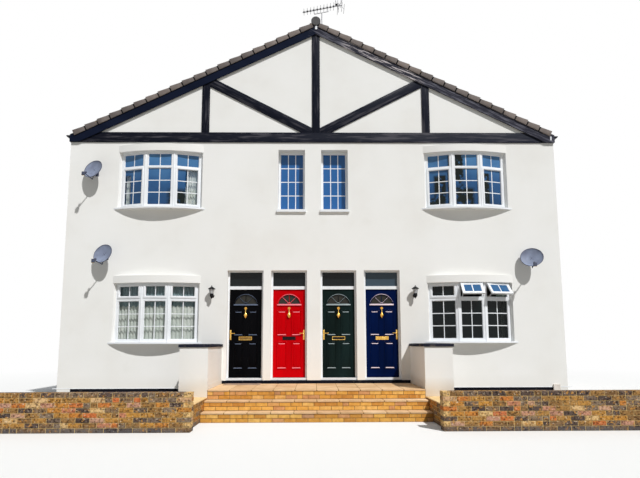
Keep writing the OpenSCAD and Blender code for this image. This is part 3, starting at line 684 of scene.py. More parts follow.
nodeFinishes = {
    "wallRender": ["front_spandrels", "door_piers", "front_wall_centre", "gable_walls", "side_walls",
                   "rear_piers", "rear_spandrels", "bow_heads"],
    "pierRender": ["front_piers"],
    "parapetRender": ["parapets"],
    "plinthPaint": ["plinths", "doorstep_base"],
    "whitePlastic": ["bow_frames", "bow_sills", "open_vents", "flat_frames", "flat_sills", "door_frames",
                     "thresholds"],
    "windowGlass": ["bow_glass", "flat_glass"],
    "transomGlass": ["transom_glass"],
    "fanGlass": ["fanlight_" + name for name in doorPaints],
    "roofBed": ["roof_left", "roof_right"],
    "board_upright": ["eaves_boards"],
    "bargePaint": ["bargeboards"],
    "rainPlastic": ["gutters"],
    "floatedConcrete": ["ground_floor"],
    "floorBoards": ["upper_floors"],
    "brass": ["frame_hinges"],
    "aerialMetal": ["aerial_mast", "aerial_boom", "aerial_reflector"],
    **{"doorPaint_" + name: ["leaf_" + name] for name in doorPaints},
}
for finishName, members in nodeFinishes.items():
    for member in members:
        setFinish(nodes[member], finishName)
print("frame dressed")

# Bow windows: beads, sashes and glazing bars over the frames

bowValues = {
    "middle": 3.670, "half": 0.960, "endSet": 0.080, "midSet": -0.090, "member": 0.060,
    "upper": {"light": 0.340, "low": 4.725, "bar": (5.632, 5.675), "high": 5.986},
    "lower": {"light": 0.310, "low": 1.552, "bar": (2.444, 2.526), "high": 2.814},
    # flat border, slope and fall of the bead of a fixed light and of the sash of an opening one
    "bead": (0.006, 0.008, 0.014), "beadY": (0.004, 0.0255),
    "sash": (0.042, 0.012, 0.024), "sashY": (-0.013, 0.0255), "sashLap": 0.020,
    "glassY": (0.026, 0.036), "barHalf": 0.010, "barProud": 0.0025, "barRun": 0.01, "barEdge": 0.0012,
    "crossBack": 0.0003, "edge": 0.002,
    "coverHalf": 0.013, "coverY": (-0.009, 0.012), "coverPast": (0.050, 0.040), "coverTaper": (0.7, 1, 1),
}


def makeGlazing(low, high, columns, rows, sash=False, bead=bowValues["bead"]):
    # one opening, low and high being (x, z): its bead or sash and the bars in front of the glass
    v = bowValues
    flat, slope, fall = v["sash"] if sash else bead
    depth, lap = (v["sashY"], v["sashLap"]) if sash else (v["beadY"], 0.0)
    ring = makeRing("ring", [a - lap for a in low], [b + lap for b in high], depth, flat, slope, fall)
    parts = [roundEdges(ring, min(v["edge"], flat / 2), 2)]
    inset = flat + slope - lap
    x0, x1, z0, z1 = low[0] + inset, high[0] - inset, low[1] + inset, high[1] - inset
    front, back = v["glassY"][0] - v["barProud"], v["glassY"][1] + v["barProud"]
    half, run, step = v["barHalf"], v["barRun"], v["crossBack"]
    for i in range(1, columns):
        x = x0 + (x1 - x0) * i / columns
        parts.append(spanBox("bar", (x - half, x + half), (front, back), (z0 - run, z1 + run),
                             v["barEdge"], 1))
    for i in range(1, rows):
        z = z0 + (z1 - z0) * i / rows
        parts.append(spanBox("bar", (x0 - run, x1 + run), (front + step, back - step), (z - half, z + half),
                             v["barEdge"], 1))
    return joinPieces("glazing", parts)


def bowFaces(storey):
    # matrix and width of the three faces of a bow about its middle
    v, light = bowValues, bowValues[storey]["light"]
    run, deep = v["half"] - light, v["endSet"] - v["midSet"]
    turn = math.degrees(math.atan2(deep, run))
    side = math.hypot(run, deep)
    return [
        (at(-v["half"], v["endSet"], 0) @ turned(-turn, "Z"), side),
        (at(-light, v["midSet"], 0), 2 * light),
        (at(light, v["midSet"], 0) @ turned(turn, "Z"), side),
    ]


def makeBowWindows():
    v = bowValues
    member, half = v["member"], v["coverHalf"]
    for storey in ("upper", "lower"):
        z, faces = v[storey], bowFaces(storey)
        upper = storey == "upper"
        models = {}
        for kind, width in (("side", faces[0][1]), ("middle", faces[1][1])):
            far = width - member
            models[kind, "below"] = makeGlazing((member, z["low"]), (far, z["bar"][0]), 2, 3,
                                                upper and kind == "side")
            models[kind, "top"] = makeGlazing((member, z["bar"][1]), (far, z["high"]), 2, 1, not upper)
        past = v["coverPast"]
        cover = spanBox("cover", (-half, half), v["coverY"], (z["low"] - past[0], z["high"] + past[1]))
        taperSide(cover, 1, -1, v["coverTaper"])
        roundEdges(cover, v["edge"], 2)
        for side, name in ((-1, "left"), (1, "right")):
            parts = []
            for i, (matrix, width) in enumerate(faces):
                kind = "middle" if i == 1 else "side"
                where = at(side * v["middle"], 0, 0) @ matrix
                parts.append(copyAt(models[kind, "below"], where))
                # two top lights at the lower right stand open, and have their own pieces
                if upper or side < 0 or i == 0:
                    parts.append(copyAt(models[kind, "top"], where))
            for x in (-z["light"], z["light"]):
                parts.append(copyAt(cover, at(side * v["middle"] + x, v["midSet"], 0)))
            piece = smooth(joinPieces(f"bow_window_{storey}_{name}", parts))
            dress(piece, "root", "whitePlastic")
        removePieces(cover, *models.values())
    print("bow windows made")


ventValues = {
    "hang": 2.834, "tilt": 36, "height": 0.330, "rim": 0.048, "inset": 0.055, "edge": 0.0015,
    "bead": (0.006, 0.010, 0.008), "beadY": (-0.038, -0.0262),
    "barHalf": 0.012, "barRun": 0.01, "barY": (-0.0285, -0.0135),
    "hoodPast": 0.012, "hoodY": (-0.046, -0.036), "hoodZ": (-0.030, 0.002),
    "dripIn": 0.004, "dripY": (-0.052, -0.030), "dripZ": (-0.006, 0.012),
    "stayIn": (0.006, 0.020), "stayWide": 0.014, "stayY": (-0.004, 0.150), "stayZ": (0.020, 0.026),
}


def makeOpenVents():
    # the two top lights pushed out at the lower right: bead, bar, hood, drip edge and two stays each
    v = ventValues
    half, run, past, lip, foot = v["barHalf"], v["barRun"], v["hoodPast"], v["dripIn"], -v["height"]
    for i, (matrix, width) in enumerate(bowFaces("lower")[1:]):
        where = at(bowValues["middle"], 0, v["hang"]) @ matrix @ at(v["inset"], 0, 0)
        where = where @ turned(-v["tilt"], "X")
        wide = width - 2 * v["inset"]
        low, high = (v["rim"], v["rim"] + foot), (wide - v["rim"], -v["rim"])
        spans = [
            ((wide / 2 - half, wide / 2 + half), v["barY"], (low[1] + run, high[1] - run)),
            ((-past, wide + past), v["hoodY"], v["hoodZ"]),
            ((lip, wide - lip), v["dripY"], [foot + z for z in v["dripZ"]]),
        ]
        for x in (v["stayIn"][0], wide - v["stayIn"][1]):
            spans.append(((x, x + v["stayWide"]), v["stayY"], [foot + z for z in v["stayZ"]]))
        parts = [roundEdges(makeRing("ring", low, high, v["beadY"], *v["bead"]), v["edge"])]
        parts += [spanBox("part", *span, v["edge"], 1) for span in spans]
        piece = placeMesh(smooth(joinPieces("open_vent_" + ("middle", "right")[i], parts)), where)
        dress(piece, "root", "whitePlastic")
    print("open vents made")


flatValues = {
    "slimX": (-0.530, 0.505), "slimW": 0.640, "slimY": 0.190, "slimZ": (4.671, 6.065),
    "slimBead": (0.003, 0.006, 0.014), "member": 0.042,
    "rearX": (-4.350, -1.500, 1.500, 4.350), "rearW": 1.150, "rearY": 8.100,
    "rearZ": ((1.594, 2.658), (4.894, 5.958)), "mullionHalf": 0.035, "mullionY": (0.0, 0.060), "edge": 0.002,
}


def makeFlatWindows():
    v = flatValues
    half = v["slimW"] / 2 - v["member"]
    model = makeGlazing((-half, v["slimZ"][0]), (half, v["slimZ"][1]), 3, 4, bead=v["slimBead"])
    for x, name in zip(v["slimX"], ("left", "right")):
        piece = smooth(joinPieces("slim_window_" + name, [copyAt(model, at(x, v["slimY"], 0))]))
        dress(piece, "root", "whitePlastic")
    removePieces(model)
    half, gap = v["rearW"] / 2 - v["member"], v["mullionHalf"]
    for storey, (low, high) in zip(("lower", "upper"), v["rearZ"]):
        light = makeGlazing((-half, low), (-gap, high), 2, 3, True)
        mullion = spanBox("mullion", (-gap, gap), v["mullionY"], (low, high), v["edge"], 1)
        model = joinPieces("model", [light, copyAt(light, at(half + gap, 0, 0)), mullion])
        for i, x in enumerate(v["rearX"]):
            piece = copyAt(model, at(x, v["rearY"], 0) @ turned(180, "Z"))
            piece = smooth(joinPieces(f"rear_window_{storey}_{i + 1}", [piece]))
            dress(piece, "root", "whitePlastic")
        removePieces(model)
    print("flat windows made")


# Doors: mouldings, spokes and brassware on the leaves

doorValues = {
    # middle of each door, and the side its hinges are on
    "doors": {"black": (-1.600, 1), "red": (-0.580, -1), "green": (0.580, 1), "blue": (1.600, -1)},
    "face": 0.126, "back": 0.171, "latchEdge": 0.384, "edge": 0.002,
    "fanZ": 2.375, "fanR": 0.272, "fanDrop": 0.044,
    "rimHalf": 0.011, "rimProud": 0.014, "rimSides": 10, "rimSteps": 32,
    "barHalf": 0.285, "barY": (-0.022, 0), "barZ": (-0.034, 0.004), "barTop": -0.004,
    "hub": [(0.036, 0.0), (0.036, 0.010), (0.030, 0.014), (0.018, 0.017)], "hubY": 0.012, "hubUp": 0.002,
    "spokes": ((45, 0.231), (90, 0.220), (135, 0.231)), "spokeX": 0.02, "spokeY": (0.002, 0.018),
    "spokeHalf": 0.0065, "spokeEdge": 0.0055,
    "panelX": 0.170, "panelHalf": 0.112, "panels": ((1.643, 2.226), (0.876, 1.486)),
    "panelY": (-0.014, 0.001), "panelRing": (0.006, 0.020, 0.0145), "panelAngle": 20,
    "fieldIn": 0.030, "fieldY": (-0.0005, 0.002), "fieldSlope": (0.018, 0.009), "fieldEdge": 0.001,
    "fieldAngle": 10, "smoothAngle": 30,
}


def makeArch(radius, half, proud, start):
    # an arc of moulding about the Y axis from the angle start over the top, its back on Y = 0
    clearSelection()
    bpy.ops.mesh.primitive_circle_add(vertices=doorValues["rimSides"], radius=1, location=(0, 0, 0))
    piece = applyScale(bpy.context.object, (half, proud, 1))
    placeMesh(piece, turned(-start, "Y") @ at(radius, 0, 0))
    spinOutline(piece, doorValues["rimSteps"], 180 - 2 * start)
    bpy.ops.mesh.fill_holes(sides=0)
    bpy.ops.mesh.select_all(action="SELECT")
    bpy.ops.mesh.normals_make_consistent(inside=False)
    endEdit()
    return piece


def makeDoorMoulding():
    # one door's mouldings about X = 0, on the outer face at Y = 0
    v = doorValues
    high, half, inset = v["fanZ"], v["panelHalf"], v["fieldIn"]
    start = math.degrees(math.asin(v["fanDrop"] / v["fanR"]))
    rim = placeMesh(makeArch(v["fanR"], v["rimHalf"], v["rimProud"], start), at(0, 0, high - v["fanDrop"]))
    bar = spanBox("bar", (-v["barHalf"], v["barHalf"]), v["barY"], [high + z for z in v["barZ"]])
    for vertex in bar.data.vertices:
        if vertex.co.z > high and vertex.co.y < v["barY"][0] / 2:
            vertex.co.y = v["barTop"]
    parts = [rim, roundEdges(bar, v["edge"], 2)]
    parts.append(makeTurned("hub", v["hub"], at(0, v["hubY"], high + v["hubUp"]) @ turned(90, "X")))
    for angle, long in v["spokes"]:
        spokeZ = (-v["spokeHalf"], v["spokeHalf"])
        spoke = spanBox("spoke", (v["spokeX"], long), v["spokeY"], spokeZ, v["spokeEdge"], 1)
        parts.append(placeMesh(spoke, at(0, 0, high) @ turned(-angle, "Y")))
    for x in (-v["panelX"], v["panelX"]):
        for z0, z1 in v["panels"]:
            ring = makeRing("moulding", (x - half, z0), (x + half, z1), v["panelY"], *v["panelRing"])
            parts.append(roundEdges(ring, v["edge"], 1, v["panelAngle"]))
            fieldX = (x - half + inset, x + half - inset)
            field = spanBox("field", fieldX, v["fieldY"], (z0 + inset, z1 - inset))
            insetSide(field, 1, -1, v["fieldSlope"])
            parts.append(roundEdges(field, v["fieldEdge"], 1, v["fieldAngle"]))
    return smooth(joinPieces("moulding", parts), v["smoothAngle"])


brassValues = {
    "boss": [(0.034, 0.0), (0.034, 0.006), (0.029, 0.012), (0.022, 0.012), (0.019, 0.008), (0.012, 0.012),
             (0.008, 0.022)],
    "urn": [(0.003, 0.0), (0.012, 0.012), (0.024, 0.036), (0.033, 0.048), (0.034, 0.056), (0.030, 0.060),
            (0.034, 0.064), (0.033, 0.078), (0.024, 0.100), (0.012, 0.120), (0.007, 0.140), (0.006, 0.215)],
    "bossZ": 2.275, "urnZ": 2.045, "urnOut": 0.028, "urnSize": (1.2, 0.79, 1.0), "urnSides": 20,
    "hinge": ((-0.006, 0.006), (-0.032, -0.006), (2.245, 2.263)), "edge": 0.002,
    "letterZ": (1.534, 1.614), "letterHalf": 0.152, "letterY": (-0.007, 0.0),
    "letterRing": (0.010, 0.005, 0.004), "letterEdge": 0.0012, "flapIn": 0.017, "flapY": (-0.0085, -0.002),
    # finish of each door's letter plate and of its flap
    "letters": {"black": ("brass", "dullBrass"), "red": ("darkMetal", "darkMetal"),
                "green": ("brass", "darkMetal"), "blue": ("brass", "brass")},
    "plate": ((-0.020, 0.020), (-0.005, 0), (1.540, 1.770)), "plateSlope": (0.005, 0.003), "leverZ": 1.690,
    "rose": [(0.014, 0.006), (0.014, 0.012), (0.009, 0.016), (0.009, 0.040), (0.006, 0.044)],
    "roseSides": 16,
    "grip": [(0.006, -0.008), (0.009, 0.0), (0.008, 0.020), (0.0075, 0.070), (0.009, 0.095), (0.007, 0.108),
             (0.003, 0.110)],
    "gripOut": 0.040, "gripSides": 12, "handleIn": 0.036,
    "lock": [(0.009, 0.006), (0.009, 0.011), (0.006, 0.012)], "lockZ": 1.595,
}


def makeKnocker():
    v = brassValues
    boss = makeTurned("boss", v["boss"], at(0, 0, v["bossZ"]) @ turned(90, "X"))
    urn = makeTurned("urn", v["urn"], at(0, -v["urnOut"], v["urnZ"]) @ scaled(*v["urnSize"]), v["urnSides"])
    return smooth(joinPieces("knocker", [boss, urn, spanBox("hinge", *v["hinge"], v["edge"])]))


def makeLetterPlate():
    v = brassValues
    half, inset, (z0, z1) = v["letterHalf"], v["flapIn"], v["letterZ"]
    plate = makeRing("plate", (-half, z0), (half, z1), v["letterY"], *v["letterRing"])
    flap = spanBox("flap", (inset - half, half - inset), v["flapY"], (z0 + inset, z1 - inset), v["edge"])
    return roundEdges(plate, v["letterEdge"], 2), flap


def makeLever():
    # a lever to +X on its plate, on the face at Y = 0
    v = brassValues
    plate = spanBox("plate", *v["plate"])
    insetSide(plate, 1, -1, v["plateSlope"])
    rose = makeTurned("rose", v["rose"], at(0, 0, v["leverZ"]) @ turned(90, "X"), v["roseSides"])
    grip = makeTurned("grip", v["grip"], at(0, -v["gripOut"], v["leverZ"]) @ turned(90, "Y"), v["gripSides"])
    lock = makeTurned("lock", v["lock"], at(0, 0, v["lockZ"]) @ turned(90, "X"), v["roseSides"])
    return smooth(joinPieces("lever", [roundEdges(plate, v["edge"], 2), rose, grip, lock]))


def makeDoors():
    v = doorValues
    moulding, knocker, lever = makeDoorMoulding(), makeKnocker(), makeLever()
    plate, flap = makeLetterPlate()
    for name, (middle, hinge) in v["doors"].items():
        body, node = "door_" + name, "brass_" + name
        outside = at(middle, v["face"], 0)
        inside = at(middle, v["back"], 0) @ turned(180, "Z")
        trim = joinPieces("door_trim_" + name, [copyAt(moulding, outside), copyAt(moulding, inside)])
        dress(trim, body, "doorTrim_" + name)
        handleX = middle - hinge * (v["latchEdge"] - brassValues["handleIn"])
        levers = [copyAt(lever, at(handleX, v["face"], 0) @ scaled(hinge, 1, 1)),
                  copyAt(lever, at(handleX, v["back"], 0) @ scaled(hinge, -1, 1))]
        handles = joinPieces("door_handles_" + name, levers + [copyAt(knocker, outside)])
        dress(handles, body, "brass", node)
        for part, model, metal in zip(("plate", "flap"), (plate, flap), brassValues["letters"][name]):
            letter = joinPieces(f"letter_{part}_{name}", [copyAt(model, outside), copyAt(model, inside)])
            dress(letter, body, metal, node)
    removePieces(moulding, knocker, lever, plate, flap)
    print("doors dressed")


# Brickwork, with its mortar core set back behind the bricks

brickValues = {
    "joint": 0.010, "setBack": 0.007, "headerShare": 0.14, "shortest": 0.02, "bevel": 0.03, "shake": 0.0018,
    "coreEdge": 0.004,
}


def makeBrick():
    # one metre each way, so that a copy's scale is the brick's own size
    brick = spanBox("brick", *[(-0.5, 0.5)] * 3)
    editAll(brick)
    bpy.ops.mesh.bevel(offset=brickValues["bevel"], segments=1, affect="EDGES")
    endEdit()
    return brick


def courseCuts(length, count, shifted, dice):
    # where the joints fall along one course, with headers here and there
    v = brickValues
    module = length / (count + 0.5)
    cuts = [0.0]
    if shifted:
        cuts.append(module / 2)
    while cuts[-1] < length - v["shortest"]:
        step = module
        if len(cuts) > 2 and dice.random() < v["headerShare"] and cuts[-1] < length - 2 * module:
            cuts.append(cuts[-1] + module / 2)
            step = module / 2
        cuts.append(min(length, cuts[-1] + step))
    return cuts


def brickRun(start, along, length, depth, courses, courseHigh, count, dice):
    # places for the bricks of one face: start is its low outer corner, along 'X' or 'Y'
    places = []
    joint, shake = brickValues["joint"], brickValues["shake"]
    for course in range(courses):
        cuts = courseCuts(length, count, course % 2, dice)
        for a, b in zip(cuts, cuts[1:]):
            out = dice.uniform(0, shake)
            spot = [(a + b) / 2, depth / 2 + math.copysign(out, depth), (course + 0.5) * courseHigh]
            size = [b - a - joint, abs(depth), courseHigh - joint]
            if along == "Y":
                spot[:2] = spot[1::-1]
                size[:2] = size[1::-1]
            places.append((at(*(Vector(start) + Vector(spot))) @ scaled(*size), dice.random()))
    return places


def twoFaces(low, high, along, length, leaf, *rest):
    # the bricks of a wall's two faces, low and high being the corners they start from
    return brickRun(low, along, length, leaf, *rest) + brickRun(high, along, length, -leaf, *rest)


def makeCore(name, low, high):
    setBack = brickValues["setBack"]
    low = [a + setBack if i < 2 else a for i, a in enumerate(low)]
    return roundEdges(startBox(name, low, [a - setBack for a in high]), brickValues["coreEdge"])


def joinWithCore(name, bricks, cores, brickFinish, coreFinish, slot, node):
    setFinish(bricks, brickFinish)
    for core in cores:
        setFinish(core, coreFinish)
    dress(joinPieces(name, [bricks] + cores), "root", replaced=node)


slabValues = {"edge": 0.006, "cuts": 5, "uneven": 0.0012, "smoothAngle": 60}


def roughTop(piece, seed):
    # worn edges and an uneven face on a slab laid by hand
    v = slabValues
    roundEdges(piece, v["edge"], 2)
    editAll(piece)
    bpy.ops.mesh.subdivide(number_cuts=v["cuts"])
    bpy.ops.transform.vertex_random(offset=v["uneven"], seed=seed)
    endEdit()
    return smooth(piece, v["smoothAngle"])


wallValues = {
    "garden": {"left": (-1, 2.045, 16), "right": (1, 2.155, 15.5)},
    "gardenY": (-3.120, -2.905), "gardenEnd": 5.960, "gardenTop": 0.655, "gardenCourses": 8, "seed": 11,
    "flank": {"left": (-2.445, -2.115), "right": (2.225, 2.555)}, "flankY": (-2.905, -1.520),
    "flankTop": 0.405, "flankCourses": 5, "flankCount": 5, "flankSlab": 0.022, "slabSeed": 5,
    # tones as (least, share of the drawn tone): inner ends and their dark courses, top and bottom
    # courses, the rest of the garden walls, the walls beside the steps
    "cornerWide": 0.09, "corner": (0.96, 0.04), "cornerDark": (0.0, 0.5), "outer": (0.0, 0.45),
    "inner": (0.0, 0.92), "flankTone": (0.2, 0.5),
}


def gardenTone(matrix, tone, innerX, courseHigh):
    # pale bricks at the inner end of every second course, dark ones between them, and the courses at
    # the top and bottom darker than the rest
    v = wallValues
    place = matrix.translation
    course = int(place.z / courseHigh)
    kind = "outer" if course in (0, v["gardenCourses"] - 1) else "inner"
    if abs(place.x) < innerX + v["cornerWide"]:
        kind = "corner" if course % 2 else "cornerDark"
    return v[kind][0] + v[kind][1] * tone


def makeGardenWalls():
    v = wallValues
    brick, dice, joint = makeBrick(), random.Random(v["seed"]), brickValues["joint"]
    finish = ("stockBrick", "wallMortar", "stock_brick")
    y0, y1 = v["gardenY"]
    x1, high, leaf = v["gardenEnd"], v["gardenTop"] / v["gardenCourses"], (y1 - y0 - joint) / 2
    for name, (side, x0, count) in v["garden"].items():
        places = twoFaces((0, y0, 0), (0, y1, 0), "X", x1 - x0, leaf, v["gardenCourses"], high, count, dice)
        moved = [(scaled(side, 1, 1) @ at(x0, 0, 0) @ matrix, tone) for matrix, tone in places]
        bricks = layCopies("bricks", brick, [(m, gardenTone(m, tone, x0, high)) for m, tone in moved])
        ends = sorted((side * x0, side * x1))
        core = makeCore("core", (ends[0], y0, 0), (ends[1], y1, v["gardenTop"]))
        joinWithCore("garden_wall_" + name, bricks, [core], *finish, "garden_walls")
    y0, y1 = v["flankY"]
    top = v["flankTop"] - v["flankSlab"]
    high, (least, share) = top / v["flankCourses"], v["flankTone"]
    for name, (x0, x1) in v["flank"].items():
        leaf = (x1 - x0 - joint) / 2
        places = twoFaces((x0, y0, 0), (x1, y0, 0), "Y", y1 - y0, leaf, v["flankCourses"], high,
                          v["flankCount"], dice)
        bricks = layCopies("bricks", brick, [(matrix, least + share * tone) for matrix, tone in places])
        core = makeCore("core", (x0, y0, 0), (x1, y1, top))
        joinWithCore("flank_wall_" + name, bricks, [core], *finish, "flank_walls")
        slab = spanBox("flank_top_" + name, (x0, x1), (y0, y1), (top, v["flankTop"]))
        dress(roughTop(slab, v["slabSeed"]), "root", "flankTop", "flank_walls")
    removePieces(brick)
    print("garden walls made")


stepValues = {
    "middle": 0.055, "halfWide": 2.170, "fronts": (-1.520, -1.810, -2.110), "rise": 0.545 / 3,
    "paving": 0.028, "nosing": 0.014, "count": 19, "deep": 0.1025, "courses": 2,
    "slabAcross": 10, "slabRows": (4, 1, 1), "slabGap": 0.010, "shake": 0.0015, "seed": 5,
    "coreSide": 0.006, "coreBack": 0.01, "coreUp": 0.005, "bedIn": 0.012, "bedZ": (0.001, -0.005),
}


def makeSteps():
    v = stepValues
    dice, brick, gap, thick = random.Random(v["seed"]), makeBrick(), v["slabGap"], v["paving"]
    low, high = v["middle"] - v["halfWide"], v["middle"] + v["halfWide"]
    places, cores = [], []
    for i, front in enumerate(v["fronts"]):
        top, foot = (3 - i) * v["rise"] - thick, (2 - i) * v["rise"]
        places += brickRun((low, front, foot), "X", high - low, v["deep"], v["courses"],
                           (top - foot) / v["courses"], v["count"], dice)
        cores.append(makeCore("core", (low - v["coreSide"], front, 0),
                              (high + v["coreSide"], v["coreBack"], top + v["coreUp"])))
    bricks = layCopies("bricks", brick, places)
    joinWithCore("step_risers", bricks, cores, "stepBrick", "stepMortar", "step_brick", "steps_brickwork")
    wide = (high - low) / v["slabAcross"]
    places, beds = [], []
    for i, (front, back, rows) in enumerate(zip(v["fronts"], (0.0,) + v["fronts"][:2], v["slabRows"])):
        front -= v["nosing"]
        deep = (back - front) / rows
        z = (3 - i) * v["rise"] - thick / 2
        for row in range(rows):
            for column in range(v["slabAcross"]):
                size = (wide - gap, deep - gap, thick - dice.uniform(0, v["shake"]))
                place = at(low + (column + 0.5) * wide, front + (row + 0.5) * deep, z)
                places.append((place @ scaled(*size), dice.random()))
        top = z + thick / 2
        beds.append(spanBox("bed", (low, high), (front + v["bedIn"], back),
                            (top - thick + v["bedZ"][0], top + v["bedZ"][1])))
    slabs = layCopies("step_slabs", brick, places)
    joinWithCore("step_slabs", slabs, beds, "pavingSlab", "stepMortar", "paving_slab", "step_paving")
    removePieces(brick)
    print("steps made")


# The worn mat before the left door, the skirting inside the parapets and the render's drip bead

trimValues = {
    "mat": ((-2.020, -1.200), (-0.370, -0.010), (0.544, 0.552)), "matSeed": 3, "edge": 0.002,
    "skirts": {"left": (-2.115, -2.109), "right": (2.219, 2.225)}, "skirtY": (-1.520, 0.0),
    "skirtZ": (0.545, 0.648),
    "beads": (((-5.950, -2.690), (-0.005, 0.005)), ((2.800, 5.950), (-0.005, 0.005)),
              ((-5.950, 5.950), (8.195, 8.205))),
    "beadZ": (0.440, 0.456),
}


def makeTrim():
    v = trimValues
    dress(roughTop(spanBox("door_mat", *v["mat"]), v["matSeed"]), "root", "wornMat")
    for name, x in v["skirts"].items():
        board = spanBox("parapet_skirt_" + name, x, v["skirtY"], v["skirtZ"], v["edge"])
        dress(board, "root", "parapetRender")
    for i, (x, y) in enumerate(v["beads"]):
        bead = spanBox(f"render_bead_{i + 1}", x, y, v["beadZ"], v["edge"])
        dress(bead, "root", "whitePlastic")
    print("trim made")


copingValues = {
    "middle": 0.055, "x": (2.148, 2.762), "y": (-1.542, 0.0), "z": (1.385, 1.450), "inset": 0.10,
    "fall": 0.008, "near": 0.001, "seeds": (6, 8),
}


def makeCopings():
    v = copingValues
    for side, name, seed in zip((-1, 1), ("left", "right"), v["seeds"]):
        xs = sorted(v["middle"] + side * x for x in v["x"])
        piece = spanBox("coping_" + name, xs, v["y"], v["z"])
        insetSide(piece, 2, 1, (v["inset"], 0.0))
        for vertex in piece.data.vertices:
            if vertex.co.z > v["z"][1] - v["near"] and min(abs(vertex.co.x - x) for x in xs) < v["near"]:
                vertex.co.z -= v["fall"]
        dress(roughTop(piece, seed), "root", "copingPaint", "copings")
    print("copings made")


# Roof: tiles, ridge tiles and verge caps

roofValues = {
    "ridgeX": 0.060, "ridgeZ": 9.418, "fall": {-1: 0.4902, 1: 0.5004}, "drop": 0.055, "end": 5.850,
    "front": -0.030, "back": 8.230, "gauge": 0.320, "tileLong": 0.380, "tileThick": 0.014, "across": 28,
    "tileGap": 0.003, "tilePast": 0.024, "tileUp": 0.001, "firstHead": 0.03, "sway": 0.25, "tileSeed": 3,
    # how the top of a tile rises and falls, by the share of its width
    "rolls": {0.12: 0.004, 0.2: -0.003, 0.46: -0.003, 0.54: 0.004, 0.80: -0.003, 0.88: 0.004},
    "ridgeR": 0.106, "ridgeWall": 0.014, "ridgeY": (-0.079, 8.279), "ridgeCount": 19, "ridgeLap": 0.022,
    "ridgeArc": (18, 216, 20), "ridgeLift": (-0.003, 0.0), "ridgeSeed": 9, "weld": 0.0001,
    "disc": [(0.020, 0.012), (0.085, 0.010), (0.100, 0.012), (0.115, 0.009), (0.115, -0.020)],
    "discSides": 48,
    "capY": (-0.080, 8.280), "capThick": 0.024, "capZ": (-0.066, 0.038), "capStep": 0.032, "capEdge": 0.003,
    "capEnd": 0.045, "capStart": 0.100, "capJoint": 0.032, "coverY": (0.022, 0.085), "coverThick": 0.012,
    "stripY": (0.012, 0.050), "stripPast": (0.002, 0.010), "capTones": (0.1, 1.0), "capSeed": 4,
}


def slopeMatrix(side):
    # local X runs down the slope from the ridge, local Z stands off it, local Y runs to the back
    v = roofValues
    fall = v["fall"][side]
    down = Vector((side, 0, -fall)).normalized()
    out = Vector((side * fall, 0, 1)).normalized()
    matrix = Matrix((down, Vector((0, 1, 0)), out)).transposed().to_4x4()
    return at(v["ridgeX"], 0, v["ridgeZ"] - v["drop"]) @ matrix


def slopeLength(side):
    v = roofValues
    return (v["end"] - side * v["ridgeX"]) * math.hypot(1, v["fall"][side])


def makeTile(wide):
    # an interlocking tile: its head at X = 0, two shallow troughs, a lap at one side
    v = roofValues
    long, thick = v["tileLong"], v["tileThick"]
    tile = spanBox("tile", (0, long), (0, wide - v["tileGap"]), (0, thick))
    editAll(tile)
    bpy.ops.mesh.select_mode(type="FACE")
    for share in v["rolls"]:
        bpy.ops.mesh.select_all(action="SELECT")
        bpy.ops.mesh.bisect(plane_co=(0, wide * share, 0), plane_no=(0, 1, 0))
    endEdit()
    for vertex in tile.data.vertices:
        for share, lift in v["rolls"].items():
            if abs(vertex.co.y - wide * share) < modelValues["sameSpot"] and vertex.co.z > thick / 2:
                vertex.co.z += lift
        vertex.co.z += vertex.co.x / long * thick
    return tile


def makeRoofTiles():
    v = roofValues
    wide = (v["back"] - v["front"]) / v["across"]
    tile, dice = makeTile(wide), random.Random(v["tileSeed"])
    for side, name in ((-1, "left"), (1, "right")):
        length = slopeLength(side)
        # on the left slope the tiles are mirrored, so each starts at its far side
        flip, first = scaled(1, side, 1), (1 - side) / 2
        places = []
        for course in range(int(length / v["gauge"]) + 1):
            head = length + v["tilePast"] - course * v["gauge"] - v["tileLong"]
            if head < v["firstHead"]:
                continue
            for i in range(v["across"]):
                y = v["front"] + (i + first) * wide
                sway = turned(dice.uniform(-v["sway"], v["sway"]), "Z")
                places.append((slopeMatrix(side) @ at(head, y, v["tileUp"]) @ sway @ flip, dice.random()))
        dress(layCopies("roof_tiles_" + name, tile, places), "root", "roofTile")
    removePieces(tile)
    print("roof tiles laid")


def makeRidge():
    v = roofValues
    y0, y1 = v["ridgeY"]
    x, z, step = v["ridgeX"], v["ridgeZ"], (y1 - y0) / v["ridgeCount"]
    start, angle, steps = v["ridgeArc"]
    clearSelection()
    bpy.ops.mesh.primitive_plane_add(size=1, location=(0, 0, 0))
    profile = applyScale(bpy.context.object, (v["ridgeWall"], step + v["ridgeLap"], 1))
    placeMesh(profile, turned(start, "Y") @ at(v["ridgeR"], 0, 0))
    spinOutline(profile, steps, angle)
    bpy.ops.mesh.remove_doubles(threshold=v["weld"])
    bpy.ops.mesh.normals_make_consistent(inside=False)
    endEdit()
    dice = random.Random(v["ridgeSeed"])
    places = []
    for i in range(v["ridgeCount"]):
        places.append((at(x, y0 + (i + 0.5) * step, z + v["ridgeLift"][i % 2]), dice.random()))
    tiles = layCopies("ridge_run", profile, places)
    disc = makeTurned("disc", v["disc"], sides=v["discSides"])
    ends = [(at(x, y0, z) @ turned(90, "X"), 0.5), (at(x, y1, z) @ turned(-90, "X"), 0.5)]
    discs = layCopies("discs", disc, ends)
    piece = smooth(joinPieces("ridge_tile_run", [tiles, discs]))
    dress(piece, "root", "roofTile", "ridge_tiles")
    removePieces(profile, disc)
    print("ridge laid")


